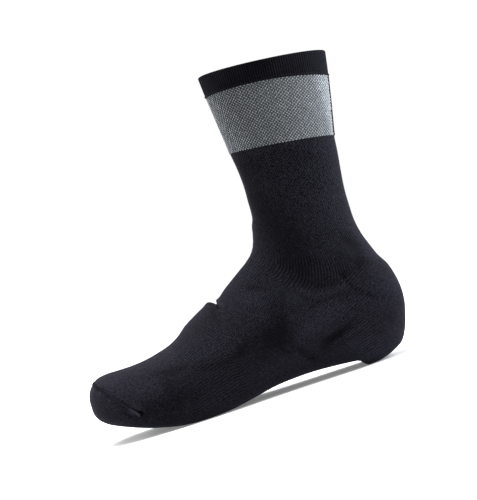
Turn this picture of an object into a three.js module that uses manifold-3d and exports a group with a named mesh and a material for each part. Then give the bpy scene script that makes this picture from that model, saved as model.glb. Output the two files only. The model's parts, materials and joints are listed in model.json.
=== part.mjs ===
// A knitted cycling overshoe, standing empty on its sole and keeping the form of the shoe that it covers.
// Millimetres. +Z is up and the toe points along -X. It curves as a left shoe does, with the outer side at -Y.
// X is measured from the toe tip while the pieces are made, and the finished group is centred over the floor.
import * as THREE from "three";
import { mergeVertices } from "three/addons/utils/BufferGeometryUtils.js";
import Module from "manifold-3d";

const wasm = await Module();
wasm.setup();

// Overall form
const footLength = 285; // toe tip to the back of the heel
const ballWidth = 103; // across the widest part of the forefoot
const ankleHeight = 148; // floor to the front of the ankle, where the shaft begins
const shaftHeight = 129.6; // front of the ankle to the front of the collar
const ankleDepth = 82; // front to back at the narrowest part of the shaft
const ankleWidth = 66;
const collarDepth = 110.5;
const collarWidth = 90;

// Knitted walls
const upperWall = 1.4;
const bandWall = 1.2;
const soleWall = 2.2;
const toeWall = 1.7;
const cuffWall = 2.6; // two layers, turned over at the collar
const pieceGap = 0.3; // between neighbouring pieces

// Pieces
const cuffHeight = 18.5;
const bandHeight = 52;
const backStripWidth = 17;
const soleEdgeHeight = 8; // how far the sole turns up the sides
const heelTurnUp = 19; // floor to the top of the sole at the back of the heel
const cuffProud = 0.5; // the cuff stands out from the band by this
const rollRadius = 1.4; // rolled lower edge of the cuff
const seamWidth = 3;
const seamRise = 1.2;
const seamEndHeight = 19.5; // floor to each end of the toe seam
const seamSlope = 51; // degrees from the floor, seen from the side
const seamFoot = 53.5; // toe tip to where the seam's line would meet the floor

const aroundCount = 32; // points round each section
const quarterSteps = 24; // points on each quarter of a section's curve before they are spaced evenly

// Sections from the toe to the ankle, each a closed curve from a point on the top line to one on the sole line.
// topX is a share of the way from the toe tip to the front of the ankle, and soleX of the foot's length.
// topZ and soleZ are shares of the ankle's height, outer and inner of the ball's width.
// belly is how far up the section is widest; crown and edge are the roundness above and below that.
const footColumns = ["topX", "topZ", "soleX", "soleZ", "outer", "inner", "belly", "crown", "edge"];
const footRows = [
  [0.004, 0.297, 0.002, 0.206, 0.05, 0.185, 0.5, 2.2, 2.2], // toe tip
  [0.018, 0.342, 0.011, 0.17, 0.14, 0.265, 0.48, 2.3, 2.5],
  [0.038, 0.372, 0.023, 0.147, 0.21, 0.325, 0.46, 2.4, 2.8],
  [0.065, 0.396, 0.042, 0.123, 0.275, 0.38, 0.44, 2.5, 3.2],
  [0.11, 0.406, 0.07, 0.1, 0.335, 0.42, 0.42, 2.5, 3.8], // toe box
  [0.164, 0.406, 0.105, 0.075, 0.385, 0.447, 0.4, 2.5, 4.4],
  [0.23, 0.406, 0.147, 0.048, 0.43, 0.466, 0.38, 2.4, 5],
  [0.307, 0.414, 0.197, 0.024, 0.465, 0.48, 0.36, 2.3, 5.6],
  [0.383, 0.433, 0.246, 0.005, 0.487, 0.49, 0.34, 2.2, 6],
  [0.449, 0.458, 0.288, -0.004, 0.498, 0.495, 0.33, 2.1, 6], // ball
  [0.493, 0.487, 0.316, -0.006, 0.5, 0.49, 0.32, 2, 6],
  [0.537, 0.529, 0.344, -0.006, 0.5, 0.48, 0.31, 1.95, 6],
  [0.591, 0.567, 0.379, -0.003, 0.49, 0.46, 0.3, 1.9, 5.8], // vamp
  [0.646, 0.601, 0.417, 0.003, 0.475, 0.436, 0.29, 1.85, 5.6],
  [0.678, 0.62, 0.446, 0.012, 0.46, 0.412, 0.28, 1.85, 5.4], // bump over the strap
  [0.703, 0.6, 0.47, 0.02, 0.447, 0.393, 0.28, 1.85, 5.2],
  [0.723, 0.615, 0.495, 0.028, 0.432, 0.378, 0.28, 1.85, 5],
  [0.766, 0.658, 0.526, 0.039, 0.41, 0.355, 0.28, 1.85, 4.8], // instep
  [0.81, 0.695, 0.572, 0.05, 0.39, 0.335, 0.28, 1.9, 4.6],
  [0.846, 0.724, 0.621, 0.055, 0.375, 0.326, 0.28, 1.95, 4.5], // arch
  [0.876, 0.748, 0.67, 0.056, 0.365, 0.326, 0.29, 2, 4.5],
  [0.901, 0.768, 0.716, 0.052, 0.36, 0.33, 0.3, 2.1, 4.5],
  [0.917, 0.783, 0.758, 0.046, 0.356, 0.335, 0.31, 2.2, 4.5],
  [0.93, 0.796, 0.79, 0.04, 0.354, 0.339, 0.32, 2.3, 4.5],
  [0.937, 0.804, 0.81, 0.034, 0.352, 0.34, 0.32, 2.35, 4.4],
  [0.941, 0.81, 0.832, -0.004, 0.352, 0.341, 0.33, 2.4, 4.3], // front of the heel pad
  [0.947, 0.819, 0.863, -0.004, 0.35, 0.342, 0.34, 2.45, 4.1],
  [0.952, 0.828, 0.893, 0.009, 0.35, 0.343, 0.35, 2.5, 3.8],
  [0.957, 0.838, 0.923, 0.03, 0.35, 0.345, 0.36, 2.5, 3.4],
  [0.961, 0.846, 0.951, 0.06, 0.35, 0.346, 0.38, 2.5, 3],
  [0.964, 0.855, 0.972, 0.12, 0.35, 0.347, 0.4, 2.5, 2.7], // back of the heel
  [0.967, 0.865, 0.986, 0.193, 0.35, 0.348, 0.42, 2.45, 2.5],
  [0.971, 0.877, 0.998, 0.277, 0.35, 0.35, 0.44, 2.4, 2.4],
  [0.974, 0.891, 1.001, 0.358, 0.35, 0.352, 0.46, 2.35, 2.3],
  [0.977, 0.905, 0.996, 0.436, 0.351, 0.354, 0.48, 2.3, 2.2],
  [0.981, 0.922, 0.984, 0.516, 0.35, 0.355, 0.5, 2.2, 2.2], // top of the heel cup
  [0.984, 0.943, 0.964, 0.584, 0.346, 0.352, 0.5, 2.15, 2.15],
  [0.989, 0.966, 0.95, 0.655, 0.34, 0.345, 0.5, 2.1, 2.1],
];

// Sections of the shaft. up is a share of its height at the front, axisX of the foot's length.
// flare goes from 0, the ankle's depth and width, to 1, those of the collar.
// drop is how far the back lies below the front, as a share of the section's depth.
const shaftColumns = ["up", "axisX", "flareDepth", "flareWidth", "drop", "round"];
const shaftRows = [
  [0, 0.7874, 0.13, 0.12, 0.476, 2.1], // ankle
  [0.055, 0.7848, 0.015, 0.03, 0.42, 2.08],
  [0.117, 0.7848, 0, 0, 0.36, 2.06],
  [0.187, 0.7866, 0, 0, 0.285, 2.05],
  [0.265, 0.79, 0.07, 0.08, 0.205, 2.05],
  [0.35, 0.7925, 0.17, 0.2, 0.15, 2.05],
  [0.459, 0.7925, 0.29, 0.34, 0.134, 2.05], // lower edge of the band
  [0.56, 0.7955, 0.42, 0.48, 0.125, 2.05],
  [0.66, 0.798, 0.56, 0.61, 0.125, 2.05],
  [0.76, 0.8005, 0.69, 0.74, 0.124, 2.05],
  [0.86, 0.803, 0.82, 0.87, 0.122, 2.05], // lower edge of the cuff
  [1, 0.8075, 1, 1, 0.1, 2.05], // collar
];

const toePole = new THREE.Vector3(0, 0.068 * ballWidth, 0.25 * ankleHeight);

const named = (columns, values) => Object.fromEntries(columns.map((name, k) => [name, values[k]]));

const shaftDepth = (flare) => ankleDepth + flare * (collarDepth - ankleDepth);
const shaftWidth = (flare) => ankleWidth + flare * (collarWidth - ankleWidth);
const ankleRow = named(shaftColumns, shaftRows[0]);
const shaftAxisX = ankleRow.axisX * footLength;
const ankleFrontX = shaftAxisX - shaftDepth(ankleRow.flareDepth) / 2;

// A section's two end points as [x, z], its half widths and its roundness, in millimetres.
function footSection(values) {
  const row = named(footColumns, values);
  return {
    top: [row.topX * ankleFrontX, row.topZ * ankleHeight],
    sole: [row.soleX * footLength, row.soleZ * ankleHeight],
    outer: row.outer * ballWidth,
    inner: row.inner * ballWidth,
    belly: row.belly,
    crown: row.crown,
    edge: row.edge,
  };
}

// The shaft's row at a share of its height, by a Catmull-Rom curve through the table.
function shaftRow(up) {
  const last = shaftRows.length - 1;
  const next = Math.min(Math.max(shaftRows.findIndex((row) => row[0] > up), 1), last);
  const from = up < 1 ? next - 1 : last - 1;
  const t = (up - shaftRows[from][0]) / (shaftRows[from + 1][0] - shaftRows[from][0]);
  const near = [-1, 0, 1, 2].map((step) => shaftRows[Math.min(Math.max(from + step, 0), last)]);
  return named(shaftColumns, shaftColumns.map((_, column) => {
    const [a, b, c, d] = near.map((row) => row[column]);
    return b + 0.5 * t * (c - a + t * (2 * a - 5 * b + 4 * c - d + t * (3 * (b - c) + d - a)));
  }));
}

function shaftSection(up) {
  const row = shaftRow(up);
  const depth = shaftDepth(row.flareDepth);
  const halfWidth = shaftWidth(row.flareWidth) / 2;
  const axisX = row.axisX * footLength;
  const frontZ = ankleHeight + up * shaftHeight;
  return {
    top: [axisX - depth / 2, frontZ],
    sole: [axisX + depth / 2, frontZ - row.drop * depth],
    outer: halfWidth,
    inner: halfWidth,
    belly: 0.5,
    crown: row.round,
    edge: row.round,
  };
}

// Points round a section, evenly spaced along each side from the top line to the sole line.
function ring(section) {
  const { top, sole, belly } = section;
  const side = (sign, halfWidth) => {
    const path = [];
    const quarter = (from, to, exponent, reach) => {
      for (let k = from; k !== to; k += Math.sign(to - from)) {
        const angle = (k / quarterSteps) * (Math.PI / 2);
        const across = Math.sin(angle) ** (2 / exponent);
        const along = Math.cos(angle) ** (2 / exponent);
        path.push([sign * halfWidth * across, belly + reach * along]);
      }
    };
    quarter(0, quarterSteps, section.crown, 1 - belly);
    quarter(quarterSteps, -1, section.edge, -belly);
    const points = path.map(([y, v]) =>
      new THREE.Vector3(sole[0] + v * (top[0] - sole[0]), y, sole[1] + v * (top[1] - sole[1])));
    const lengths = [0];
    points.slice(1).forEach((p, k) => lengths.push(lengths[k] + p.distanceTo(points[k])));
    return Array.from({ length: aroundCount / 2 + 1 }, (_, k) => {
      const want = (k / (aroundCount / 2)) * lengths.at(-1);
      const j = Math.min(Math.max(lengths.findIndex((l) => l >= want), 1), points.length - 1);
      const t = (want - lengths[j - 1]) / (lengths[j] - lengths[j - 1]);
      return points[j - 1].clone().lerp(points[j], t);
    });
  };
  const outerSide = side(-1, section.outer);
  const innerSide = side(1, section.inner);
  return [...innerSide.slice(0, -1), ...outerSide.slice(1).reverse()];
}

// A grid of rings moved along its own normals by an offset for each ring.
function moved(rings, offsets, poleAhead) {
  return rings.map((points, i) =>
    points.map((p, k) => {
      const ahead = i > 0 ? rings[i - 1][k] : (poleAhead ?? p);
      const behind = rings[Math.min(i + 1, rings.length - 1)][k];
      const left = points[(k + 1) % points.length];
      const right = points[(k - 1 + points.length) % points.length];
      const along = new THREE.Vector3().subVectors(behind, ahead);
      const round = new THREE.Vector3().subVectors(left, right);
      return p.clone().addScaledVector(along.cross(round).normalize(), offsets[i]);
    }));
}

// A closed wall between two offsets of a grid of rings, with a pole at the first ring if the toe is closed.
function wallOf(sections, outerOffsets, innerOffsets, pole) {
  const rings = sections.map(ring);
  const outer = moved(rings, outerOffsets, pole);
  const inner = moved(rings, innerOffsets, pole);
  const points = [...outer.flat(), ...inner.flat()];
  const count = rings.length;
  const at = (skin, i, k) => (skin * count + i) * aroundCount + (k % aroundCount);
  const faces = [];
  const quad = (a, b, c, d) => faces.push(a, b, c, a, c, d);
  for (let k = 0; k < aroundCount; k += 1) {
    for (let i = 0; i < count - 1; i += 1) {
      quad(at(0, i, k), at(0, i + 1, k), at(0, i + 1, k + 1), at(0, i, k + 1));
      quad(at(1, i, k), at(1, i, k + 1), at(1, i + 1, k + 1), at(1, i + 1, k));
    }
    quad(at(0, count - 1, k), at(1, count - 1, k), at(1, count - 1, k + 1), at(0, count - 1, k + 1));
    if (pole) {
      faces.push(points.length, at(0, 0, k), at(0, 0, k + 1));
      faces.push(points.length + 1, at(1, 0, k + 1), at(1, 0, k));
    } else {
      quad(at(0, 0, k), at(0, 0, k + 1), at(1, 0, k + 1), at(1, 0, k));
    }
  }
  if (pole) {
    const forward = new THREE.Vector3(-1, 0, 0);
    points.push(pole.clone().addScaledVector(forward, outerOffsets[0]));
    points.push(pole.clone().addScaledVector(forward, innerOffsets[0]));
  }
  return new wasm.Manifold(new wasm.Mesh({
    numProp: 3,
    vertProperties: new Float32Array(points.flatMap((p) => p.toArray())),
    triVerts: new Uint32Array(faces),
  }));
}

function solidOf(geometry) {
  geometry.deleteAttribute("normal");
  geometry.deleteAttribute("uv");
  const merged = mergeVertices(geometry);
  return new wasm.Manifold(new wasm.Mesh({
    numProp: 3,
    vertProperties: merged.getAttribute("position").array,
    triVerts: new Uint32Array(merged.index.array),
  }));
}

const farAway = 2 * (footLength + shaftHeight); // past every piece
const slope = THREE.MathUtils.degToRad(seamSlope);
const soleStartX = seamFoot - seamEndHeight / Math.tan(slope); // the sole's line begins below the seam's ends
const footSections = footRows.map(footSection);

// A block with its lowest and highest corners at these places.
function block(low, high) {
  const size = high.map((v, k) => v - low[k]);
  const middle = high.map((v, k) => (v + low[k]) / 2);
  return solidOf(new THREE.BoxGeometry(...size).translate(...middle));
}

// Everything ahead of the toe seam's plane, moved forward by a distance square to it.
function aheadOfSeam(distance) {
  const geometry = new THREE.BoxGeometry(farAway, farAway, farAway)
    .translate(-farAway / 2 - distance, 0, 0)
    .rotateY(slope - Math.PI / 2)
    .translate(seamFoot, 0, 0);
  return solidOf(geometry);
}

// Everything below the line on which the sole meets the upper, moved up by a distance.
function belowSoleLine(raise) {
  const line = footSections
    .map(({ sole: [x, z] }) => [x, z + soleEdgeHeight])
    .filter(([x, z]) => x > soleStartX && z < heelTurnUp);
  const outline = new THREE.Shape();
  outline.moveTo(-farAway, -farAway);
  outline.lineTo(-farAway, line[0][1] + raise);
  line.forEach(([x, z]) => outline.lineTo(x, z + raise));
  outline.lineTo(farAway, heelTurnUp + raise);
  outline.lineTo(farAway, -farAway);
  const geometry = new THREE.ExtrudeGeometry(outline, { depth: farAway, bevelEnabled: false })
    .rotateX(Math.PI / 2)
    .translate(0, farAway / 2, 0);
  return solidOf(geometry);
}

// A wall of even thickness whose outer face stands proud of the overshoe's surface, or lies on it.
function evenWall(sections, thickness, proud, pole) {
  const outer = sections.map(() => proud);
  return wallOf(sections, outer, outer.map((offset) => offset - thickness), pole);
}

const share = (length) => length / shaftHeight;
const cuffLow = 1 - share(cuffHeight);
const bandLow = cuffLow - share(bandHeight);

// Shaft sections from one height share to another, with the given number of steps.
const shaftSections = (low, high, steps) =>
  Array.from({ length: steps + 1 }, (_, k) => shaftSection(low + (k / steps) * (high - low)));

// The foot's sections up to the last that a piece needs, and one more.
const throughSection = (needed) => footSections.slice(0, footSections.findLastIndex(needed) + 2);
const toeSections = throughSection(({ top, sole }) => Math.min(top[0], sole[0]) < seamFoot);
const soleSections = throughSection(({ sole }) => sole[1] < heelTurnUp + soleEdgeHeight);

function makeUpper() {
  const sections = [...footSections, ...shaftSections(0, bandLow - share(pieceGap), 7)];
  return evenWall(sections, upperWall, 0, toePole)
    .subtract(aheadOfSeam(-pieceGap / 2))
    .subtract(belowSoleLine(pieceGap));
}

// The sole turns up all round, and is flat where it meets the floor.
function makeSole() {
  return evenWall(soleSections, soleWall, 0, toePole)
    .subtract(aheadOfSeam(-pieceGap / 2))
    .intersect(belowSoleLine(0))
    .intersect(block([-farAway, -farAway, 0], [farAway, farAway, farAway]));
}

const makeToePocket = () => evenWall(toeSections, toeWall, 0, toePole).intersect(aheadOfSeam(pieceGap / 2));

// The linked seam is a raised strip that lies over the joint between the toe pocket and the upper.
function makeToeSeam() {
  return evenWall(toeSections, seamRise, pieceGap + seamRise, toePole)
    .intersect(aheadOfSeam(-seamWidth / 2))
    .subtract(aheadOfSeam(seamWidth / 2))
    .intersect(block([-farAway, -farAway, seamEndHeight], [farAway, farAway, farAway]));
}

// Everything behind the shaft's axis within half a width of its middle plane.
const behindShaft = (halfWidth) => block([shaftAxisX, -halfWidth, 0], [farAway, halfWidth, farAway]);

const makeBandTube = () => evenWall(shaftSections(bandLow, cuffLow - share(pieceGap), 5), bandWall, 0);

const makeBand = () => makeBandTube().subtract(behindShaft(backStripWidth / 2 + pieceGap));

const makeBackStrip = () => makeBandTube().intersect(behindShaft(backStripWidth / 2));

// The turned cuff: a rolled lower edge, a plain wall and a rounded fold at the collar.
// Each row is a rise from the cuff's lower edge, and how far its outer and inner faces are drawn in.
function makeCuff() {
  const fold = cuffWall / 2;
  const rollOut = -rollRadius / 2;
  const rows = [
    [0, 0, 0],
    [0.4 * rollRadius, rollOut, 0],
    [1.2 * rollRadius, rollOut, 0],
    [2 * rollRadius, 0, 0],
    [0.5 * cuffHeight, 0, 0],
    [cuffHeight - fold, 0, 0],
    [cuffHeight - 0.3 * fold, 0.3 * fold, 0.3 * fold],
    [cuffHeight, 0.8 * fold, 0.8 * fold],
  ];
  const sections = rows.map(([rise]) => shaftSection(cuffLow + share(rise)));
  const outer = rows.map(([, drawnIn]) => cuffProud - drawnIn);
  const inner = rows.map(([, , drawnIn]) => cuffProud - cuffWall + drawnIn);
  return wallOf(sections, outer, inner);
}

const finishes = {
  blackKnit: { color: 0x1b1b20, roughness: 0.85, metalness: 0 },
  greyKnit: { color: 0x7d8285, roughness: 0.6, metalness: 0 },
};

const overshoe = new THREE.Group();

function place(name, solid, finish) {
  const { numProp, vertProperties, triVerts } = solid.getMesh();
  const count = vertProperties.length / numProp;
  const positions = new Float32Array(count * 3);
  for (let i = 0; i < count; i += 1) {
    positions.set(vertProperties.subarray(i * numProp, i * numProp + 3), i * 3);
  }
  const geometry = new THREE.BufferGeometry()
    .setAttribute("position", new THREE.BufferAttribute(positions, 3))
    .setIndex(new THREE.BufferAttribute(triVerts, 1));
  const mesh = new THREE.Mesh(geometry, new THREE.MeshStandardMaterial(finishes[finish]));
  mesh.name = name;
  overshoe.add(mesh);
}

place("upper", makeUpper(), "blackKnit");
place("sole", makeSole(), "blackKnit");
place("toe_pocket", makeToePocket(), "blackKnit");
place("toe_seam", makeToeSeam(), "blackKnit");
place("reflective_band", makeBand(), "greyKnit");
place("back_strip", makeBackStrip(), "blackKnit");
place("cuff", makeCuff(), "blackKnit");

const bounds = new THREE.Box3().setFromObject(overshoe, true);
const middle = bounds.getCenter(new THREE.Vector3());
overshoe.children.forEach((mesh) => mesh.geometry.translate(-middle.x, -middle.y, 0));

export default overshoe;
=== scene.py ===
"""The looks of a knitted cycling overshoe, made around its CAD frame, with lengths in metres.

The overshoe stands on the floor with its toe towards -X and its outer side towards -Y. It is empty, and
keeps the form that it was stretched over. Every knitted piece is cut from one smooth surface through the
same sections as the CAD model, and the folds and hollows are pressed into that surface first.
"""

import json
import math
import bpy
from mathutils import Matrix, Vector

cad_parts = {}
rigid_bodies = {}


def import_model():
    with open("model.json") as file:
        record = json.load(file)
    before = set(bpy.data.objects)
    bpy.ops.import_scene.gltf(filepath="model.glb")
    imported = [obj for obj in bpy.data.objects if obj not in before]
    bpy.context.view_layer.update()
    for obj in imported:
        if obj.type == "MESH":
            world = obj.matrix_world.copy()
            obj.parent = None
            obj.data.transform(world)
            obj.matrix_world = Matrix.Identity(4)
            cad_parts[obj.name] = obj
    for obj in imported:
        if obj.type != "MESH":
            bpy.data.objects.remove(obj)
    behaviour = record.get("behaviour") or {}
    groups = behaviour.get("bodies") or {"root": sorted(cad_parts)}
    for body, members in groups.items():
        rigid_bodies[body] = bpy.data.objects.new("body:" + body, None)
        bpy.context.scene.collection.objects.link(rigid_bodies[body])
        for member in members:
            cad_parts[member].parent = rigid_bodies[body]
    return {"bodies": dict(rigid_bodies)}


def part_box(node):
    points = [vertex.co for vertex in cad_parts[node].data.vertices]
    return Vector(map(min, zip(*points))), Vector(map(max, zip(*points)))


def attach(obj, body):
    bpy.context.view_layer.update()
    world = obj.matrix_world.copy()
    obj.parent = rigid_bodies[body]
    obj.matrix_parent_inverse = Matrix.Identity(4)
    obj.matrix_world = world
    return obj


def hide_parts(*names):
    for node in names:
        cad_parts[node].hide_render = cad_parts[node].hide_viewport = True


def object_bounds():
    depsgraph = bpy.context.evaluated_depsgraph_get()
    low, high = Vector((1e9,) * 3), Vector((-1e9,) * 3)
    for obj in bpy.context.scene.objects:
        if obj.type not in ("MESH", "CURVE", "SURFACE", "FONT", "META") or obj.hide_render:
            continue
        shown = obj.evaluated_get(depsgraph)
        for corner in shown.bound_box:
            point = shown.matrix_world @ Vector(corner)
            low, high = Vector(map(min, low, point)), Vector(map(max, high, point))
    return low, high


bl_info = {
    "name": "Knitted overshoe",
    "version": (1, 0, 0),
    "blender": (4, 5, 0),
    "location": "3D View > Sidebar > Overshoe",
    "description": "Makes the knitted pieces, seams and stitches of a cycling overshoe around its CAD frame",
    "category": "Object",
}

import bpy
import numpy as np
from mathutils import Matrix, Vector

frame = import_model()
CAD_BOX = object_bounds()
BODY = next(iter(frame["bodies"]))
MM = 0.001
DEGREE = math.pi / 180

TOE_X = CAD_BOX[0][0]
SIDE_Y = CAD_BOX[0][1]
COLLAR_Z = CAD_BOX[1][2]
BAND_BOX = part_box("reflective_band")
CUFF_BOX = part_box("cuff")
STRIP_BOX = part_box("back_strip")
SEAM_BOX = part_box("toe_seam")

# Sections from the toe to the ankle, each a closed curve between a point on the top line and one on the sole
# line. Columns: top x as a share of the way to the ankle's front, top z of the ankle's height, sole x of the
# foot's length, sole z of the ankle's height, outer and inner half widths of the ball's width, how far up the
# section is widest, and its roundness above and below that.
FOOT_ROWS = [
    (0.004, 0.297, 0.002, 0.206, 0.05, 0.185, 0.5, 2.2, 2.2),  # toe tip
    (0.018, 0.342, 0.011, 0.17, 0.14, 0.265, 0.48, 2.3, 2.5),
    (0.038, 0.372, 0.023, 0.147, 0.21, 0.325, 0.46, 2.4, 2.8),
    (0.065, 0.396, 0.042, 0.123, 0.275, 0.38, 0.44, 2.5, 3.2),
    (0.11, 0.406, 0.07, 0.1, 0.335, 0.42, 0.42, 2.5, 3.8),  # toe box
    (0.164, 0.406, 0.105, 0.075, 0.385, 0.447, 0.4, 2.5, 4.4),
    (0.23, 0.406, 0.147, 0.048, 0.43, 0.466, 0.38, 2.4, 5),
    (0.307, 0.414, 0.197, 0.024, 0.465, 0.48, 0.36, 2.3, 5.6),
    (0.383, 0.433, 0.246, 0.005, 0.487, 0.49, 0.34, 2.2, 6),
    (0.449, 0.458, 0.288, -0.004, 0.498, 0.495, 0.33, 2.1, 6),  # ball
    (0.493, 0.487, 0.316, -0.006, 0.5, 0.49, 0.32, 2, 6),
    (0.537, 0.529, 0.344, -0.006, 0.5, 0.48, 0.31, 1.95, 6),
    (0.591, 0.567, 0.379, -0.003, 0.49, 0.46, 0.3, 1.9, 5.8),  # vamp
    (0.646, 0.601, 0.417, 0.003, 0.475, 0.436, 0.29, 1.85, 5.6),
    (0.678, 0.62, 0.446, 0.012, 0.46, 0.412, 0.28, 1.85, 5.4),  # bump on the instep
    (0.71, 0.603, 0.47, 0.02, 0.447, 0.393, 0.28, 1.85, 5.2),
    (0.723, 0.615, 0.495, 0.028, 0.432, 0.378, 0.28, 1.85, 5),
    (0.766, 0.658, 0.526, 0.039, 0.41, 0.355, 0.28, 1.85, 4.8),  # instep
    (0.81, 0.695, 0.572, 0.05, 0.39, 0.335, 0.28, 1.9, 4.6),
    (0.846, 0.724, 0.621, 0.055, 0.375, 0.326, 0.28, 1.95, 4.5),  # arch
    (0.876, 0.748, 0.67, 0.056, 0.365, 0.326, 0.29, 2, 4.5),
    (0.901, 0.768, 0.716, 0.052, 0.36, 0.33, 0.3, 2.1, 4.5),
    (0.917, 0.783, 0.758, 0.046, 0.356, 0.335, 0.31, 2.2, 4.5),
    (0.93, 0.796, 0.79, 0.04, 0.354, 0.339, 0.32, 2.3, 4.5),
    (0.937, 0.804, 0.81, 0.034, 0.352, 0.34, 0.32, 2.35, 4.4),
    (0.941, 0.81, 0.832, -0.004, 0.352, 0.341, 0.33, 2.4, 4.3),  # front of the heel pad
    (0.947, 0.819, 0.863, -0.004, 0.35, 0.342, 0.34, 2.45, 4.1),
    (0.952, 0.828, 0.893, 0.009, 0.35, 0.343, 0.35, 2.5, 3.8),
    (0.957, 0.838, 0.923, 0.03, 0.35, 0.345, 0.36, 2.5, 3.4),
    (0.961, 0.846, 0.951, 0.06, 0.35, 0.346, 0.38, 2.5, 3),
    (0.964, 0.855, 0.972, 0.12, 0.35, 0.347, 0.4, 2.5, 2.7),  # back of the heel
    (0.967, 0.865, 0.986, 0.193, 0.35, 0.348, 0.42, 2.45, 2.5),
    (0.971, 0.877, 0.998, 0.277, 0.35, 0.35, 0.44, 2.4, 2.4),
    (0.974, 0.891, 1.001, 0.358, 0.35, 0.352, 0.46, 2.35, 2.3),
    (0.977, 0.905, 0.996, 0.436, 0.351, 0.354, 0.48, 2.3, 2.2),
    (0.981, 0.922, 0.984, 0.516, 0.35, 0.355, 0.5, 2.2, 2.2),  # top of the heel cup
    (0.984, 0.943, 0.964, 0.584, 0.346, 0.352, 0.5, 2.15, 2.15),
    (0.989, 0.966, 0.95, 0.655, 0.34, 0.345, 0.5, 2.1, 2.1),
]
SOLE_ROWS = 33  # rows along which the sole line runs backwards, up to the back of the heel
TOP_ROWS = 20  # rows along which the top line runs over the toe and instep
TOE_POLE = (0.068, 0.25)  # where the toe closes: y as a share of the ball's width, z of the ankle's height

# Sections of the shaft. Columns: share of its height, axis x as a share of the foot's length, how far the
# depth and the width go from the ankle's to the collar's, how far the back lies below the front, and the
# roundness.
SHAFT_ROWS = [
    (0, 0.7874, 0.13, 0.12, 0.476, 2.1),  # ankle
    (0.055, 0.7848, 0.015, 0.03, 0.42, 2.08),
    (0.117, 0.7848, 0, 0, 0.36, 2.06),
    (0.187, 0.7866, 0, 0, 0.285, 2.05),
    (0.265, 0.79, 0.07, 0.08, 0.205, 2.05),
    (0.35, 0.7925, 0.17, 0.2, 0.15, 2.05),
    (0.459, 0.7925, 0.29, 0.34, 0.134, 2.05),  # lower edge of the band
    (0.56, 0.7955, 0.42, 0.48, 0.125, 2.05),
    (0.66, 0.798, 0.56, 0.61, 0.125, 2.05),
    (0.76, 0.8005, 0.69, 0.74, 0.124, 2.05),
    (0.86, 0.803, 0.82, 0.87, 0.122, 2.05),  # lower edge of the cuff
    (1, 0.8075, 1, 1, 0.1, 2.05),  # collar
]

# The line behind the ankle where the heel's rows turn, seen from the side, as shares of the foot's length.
GORE_ROUTE = [(0.839, 0.282), (0.846, 0.252), (0.862, 0.227), (0.885, 0.207), (0.906, 0.193), (0.931, 0.173)]

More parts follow.
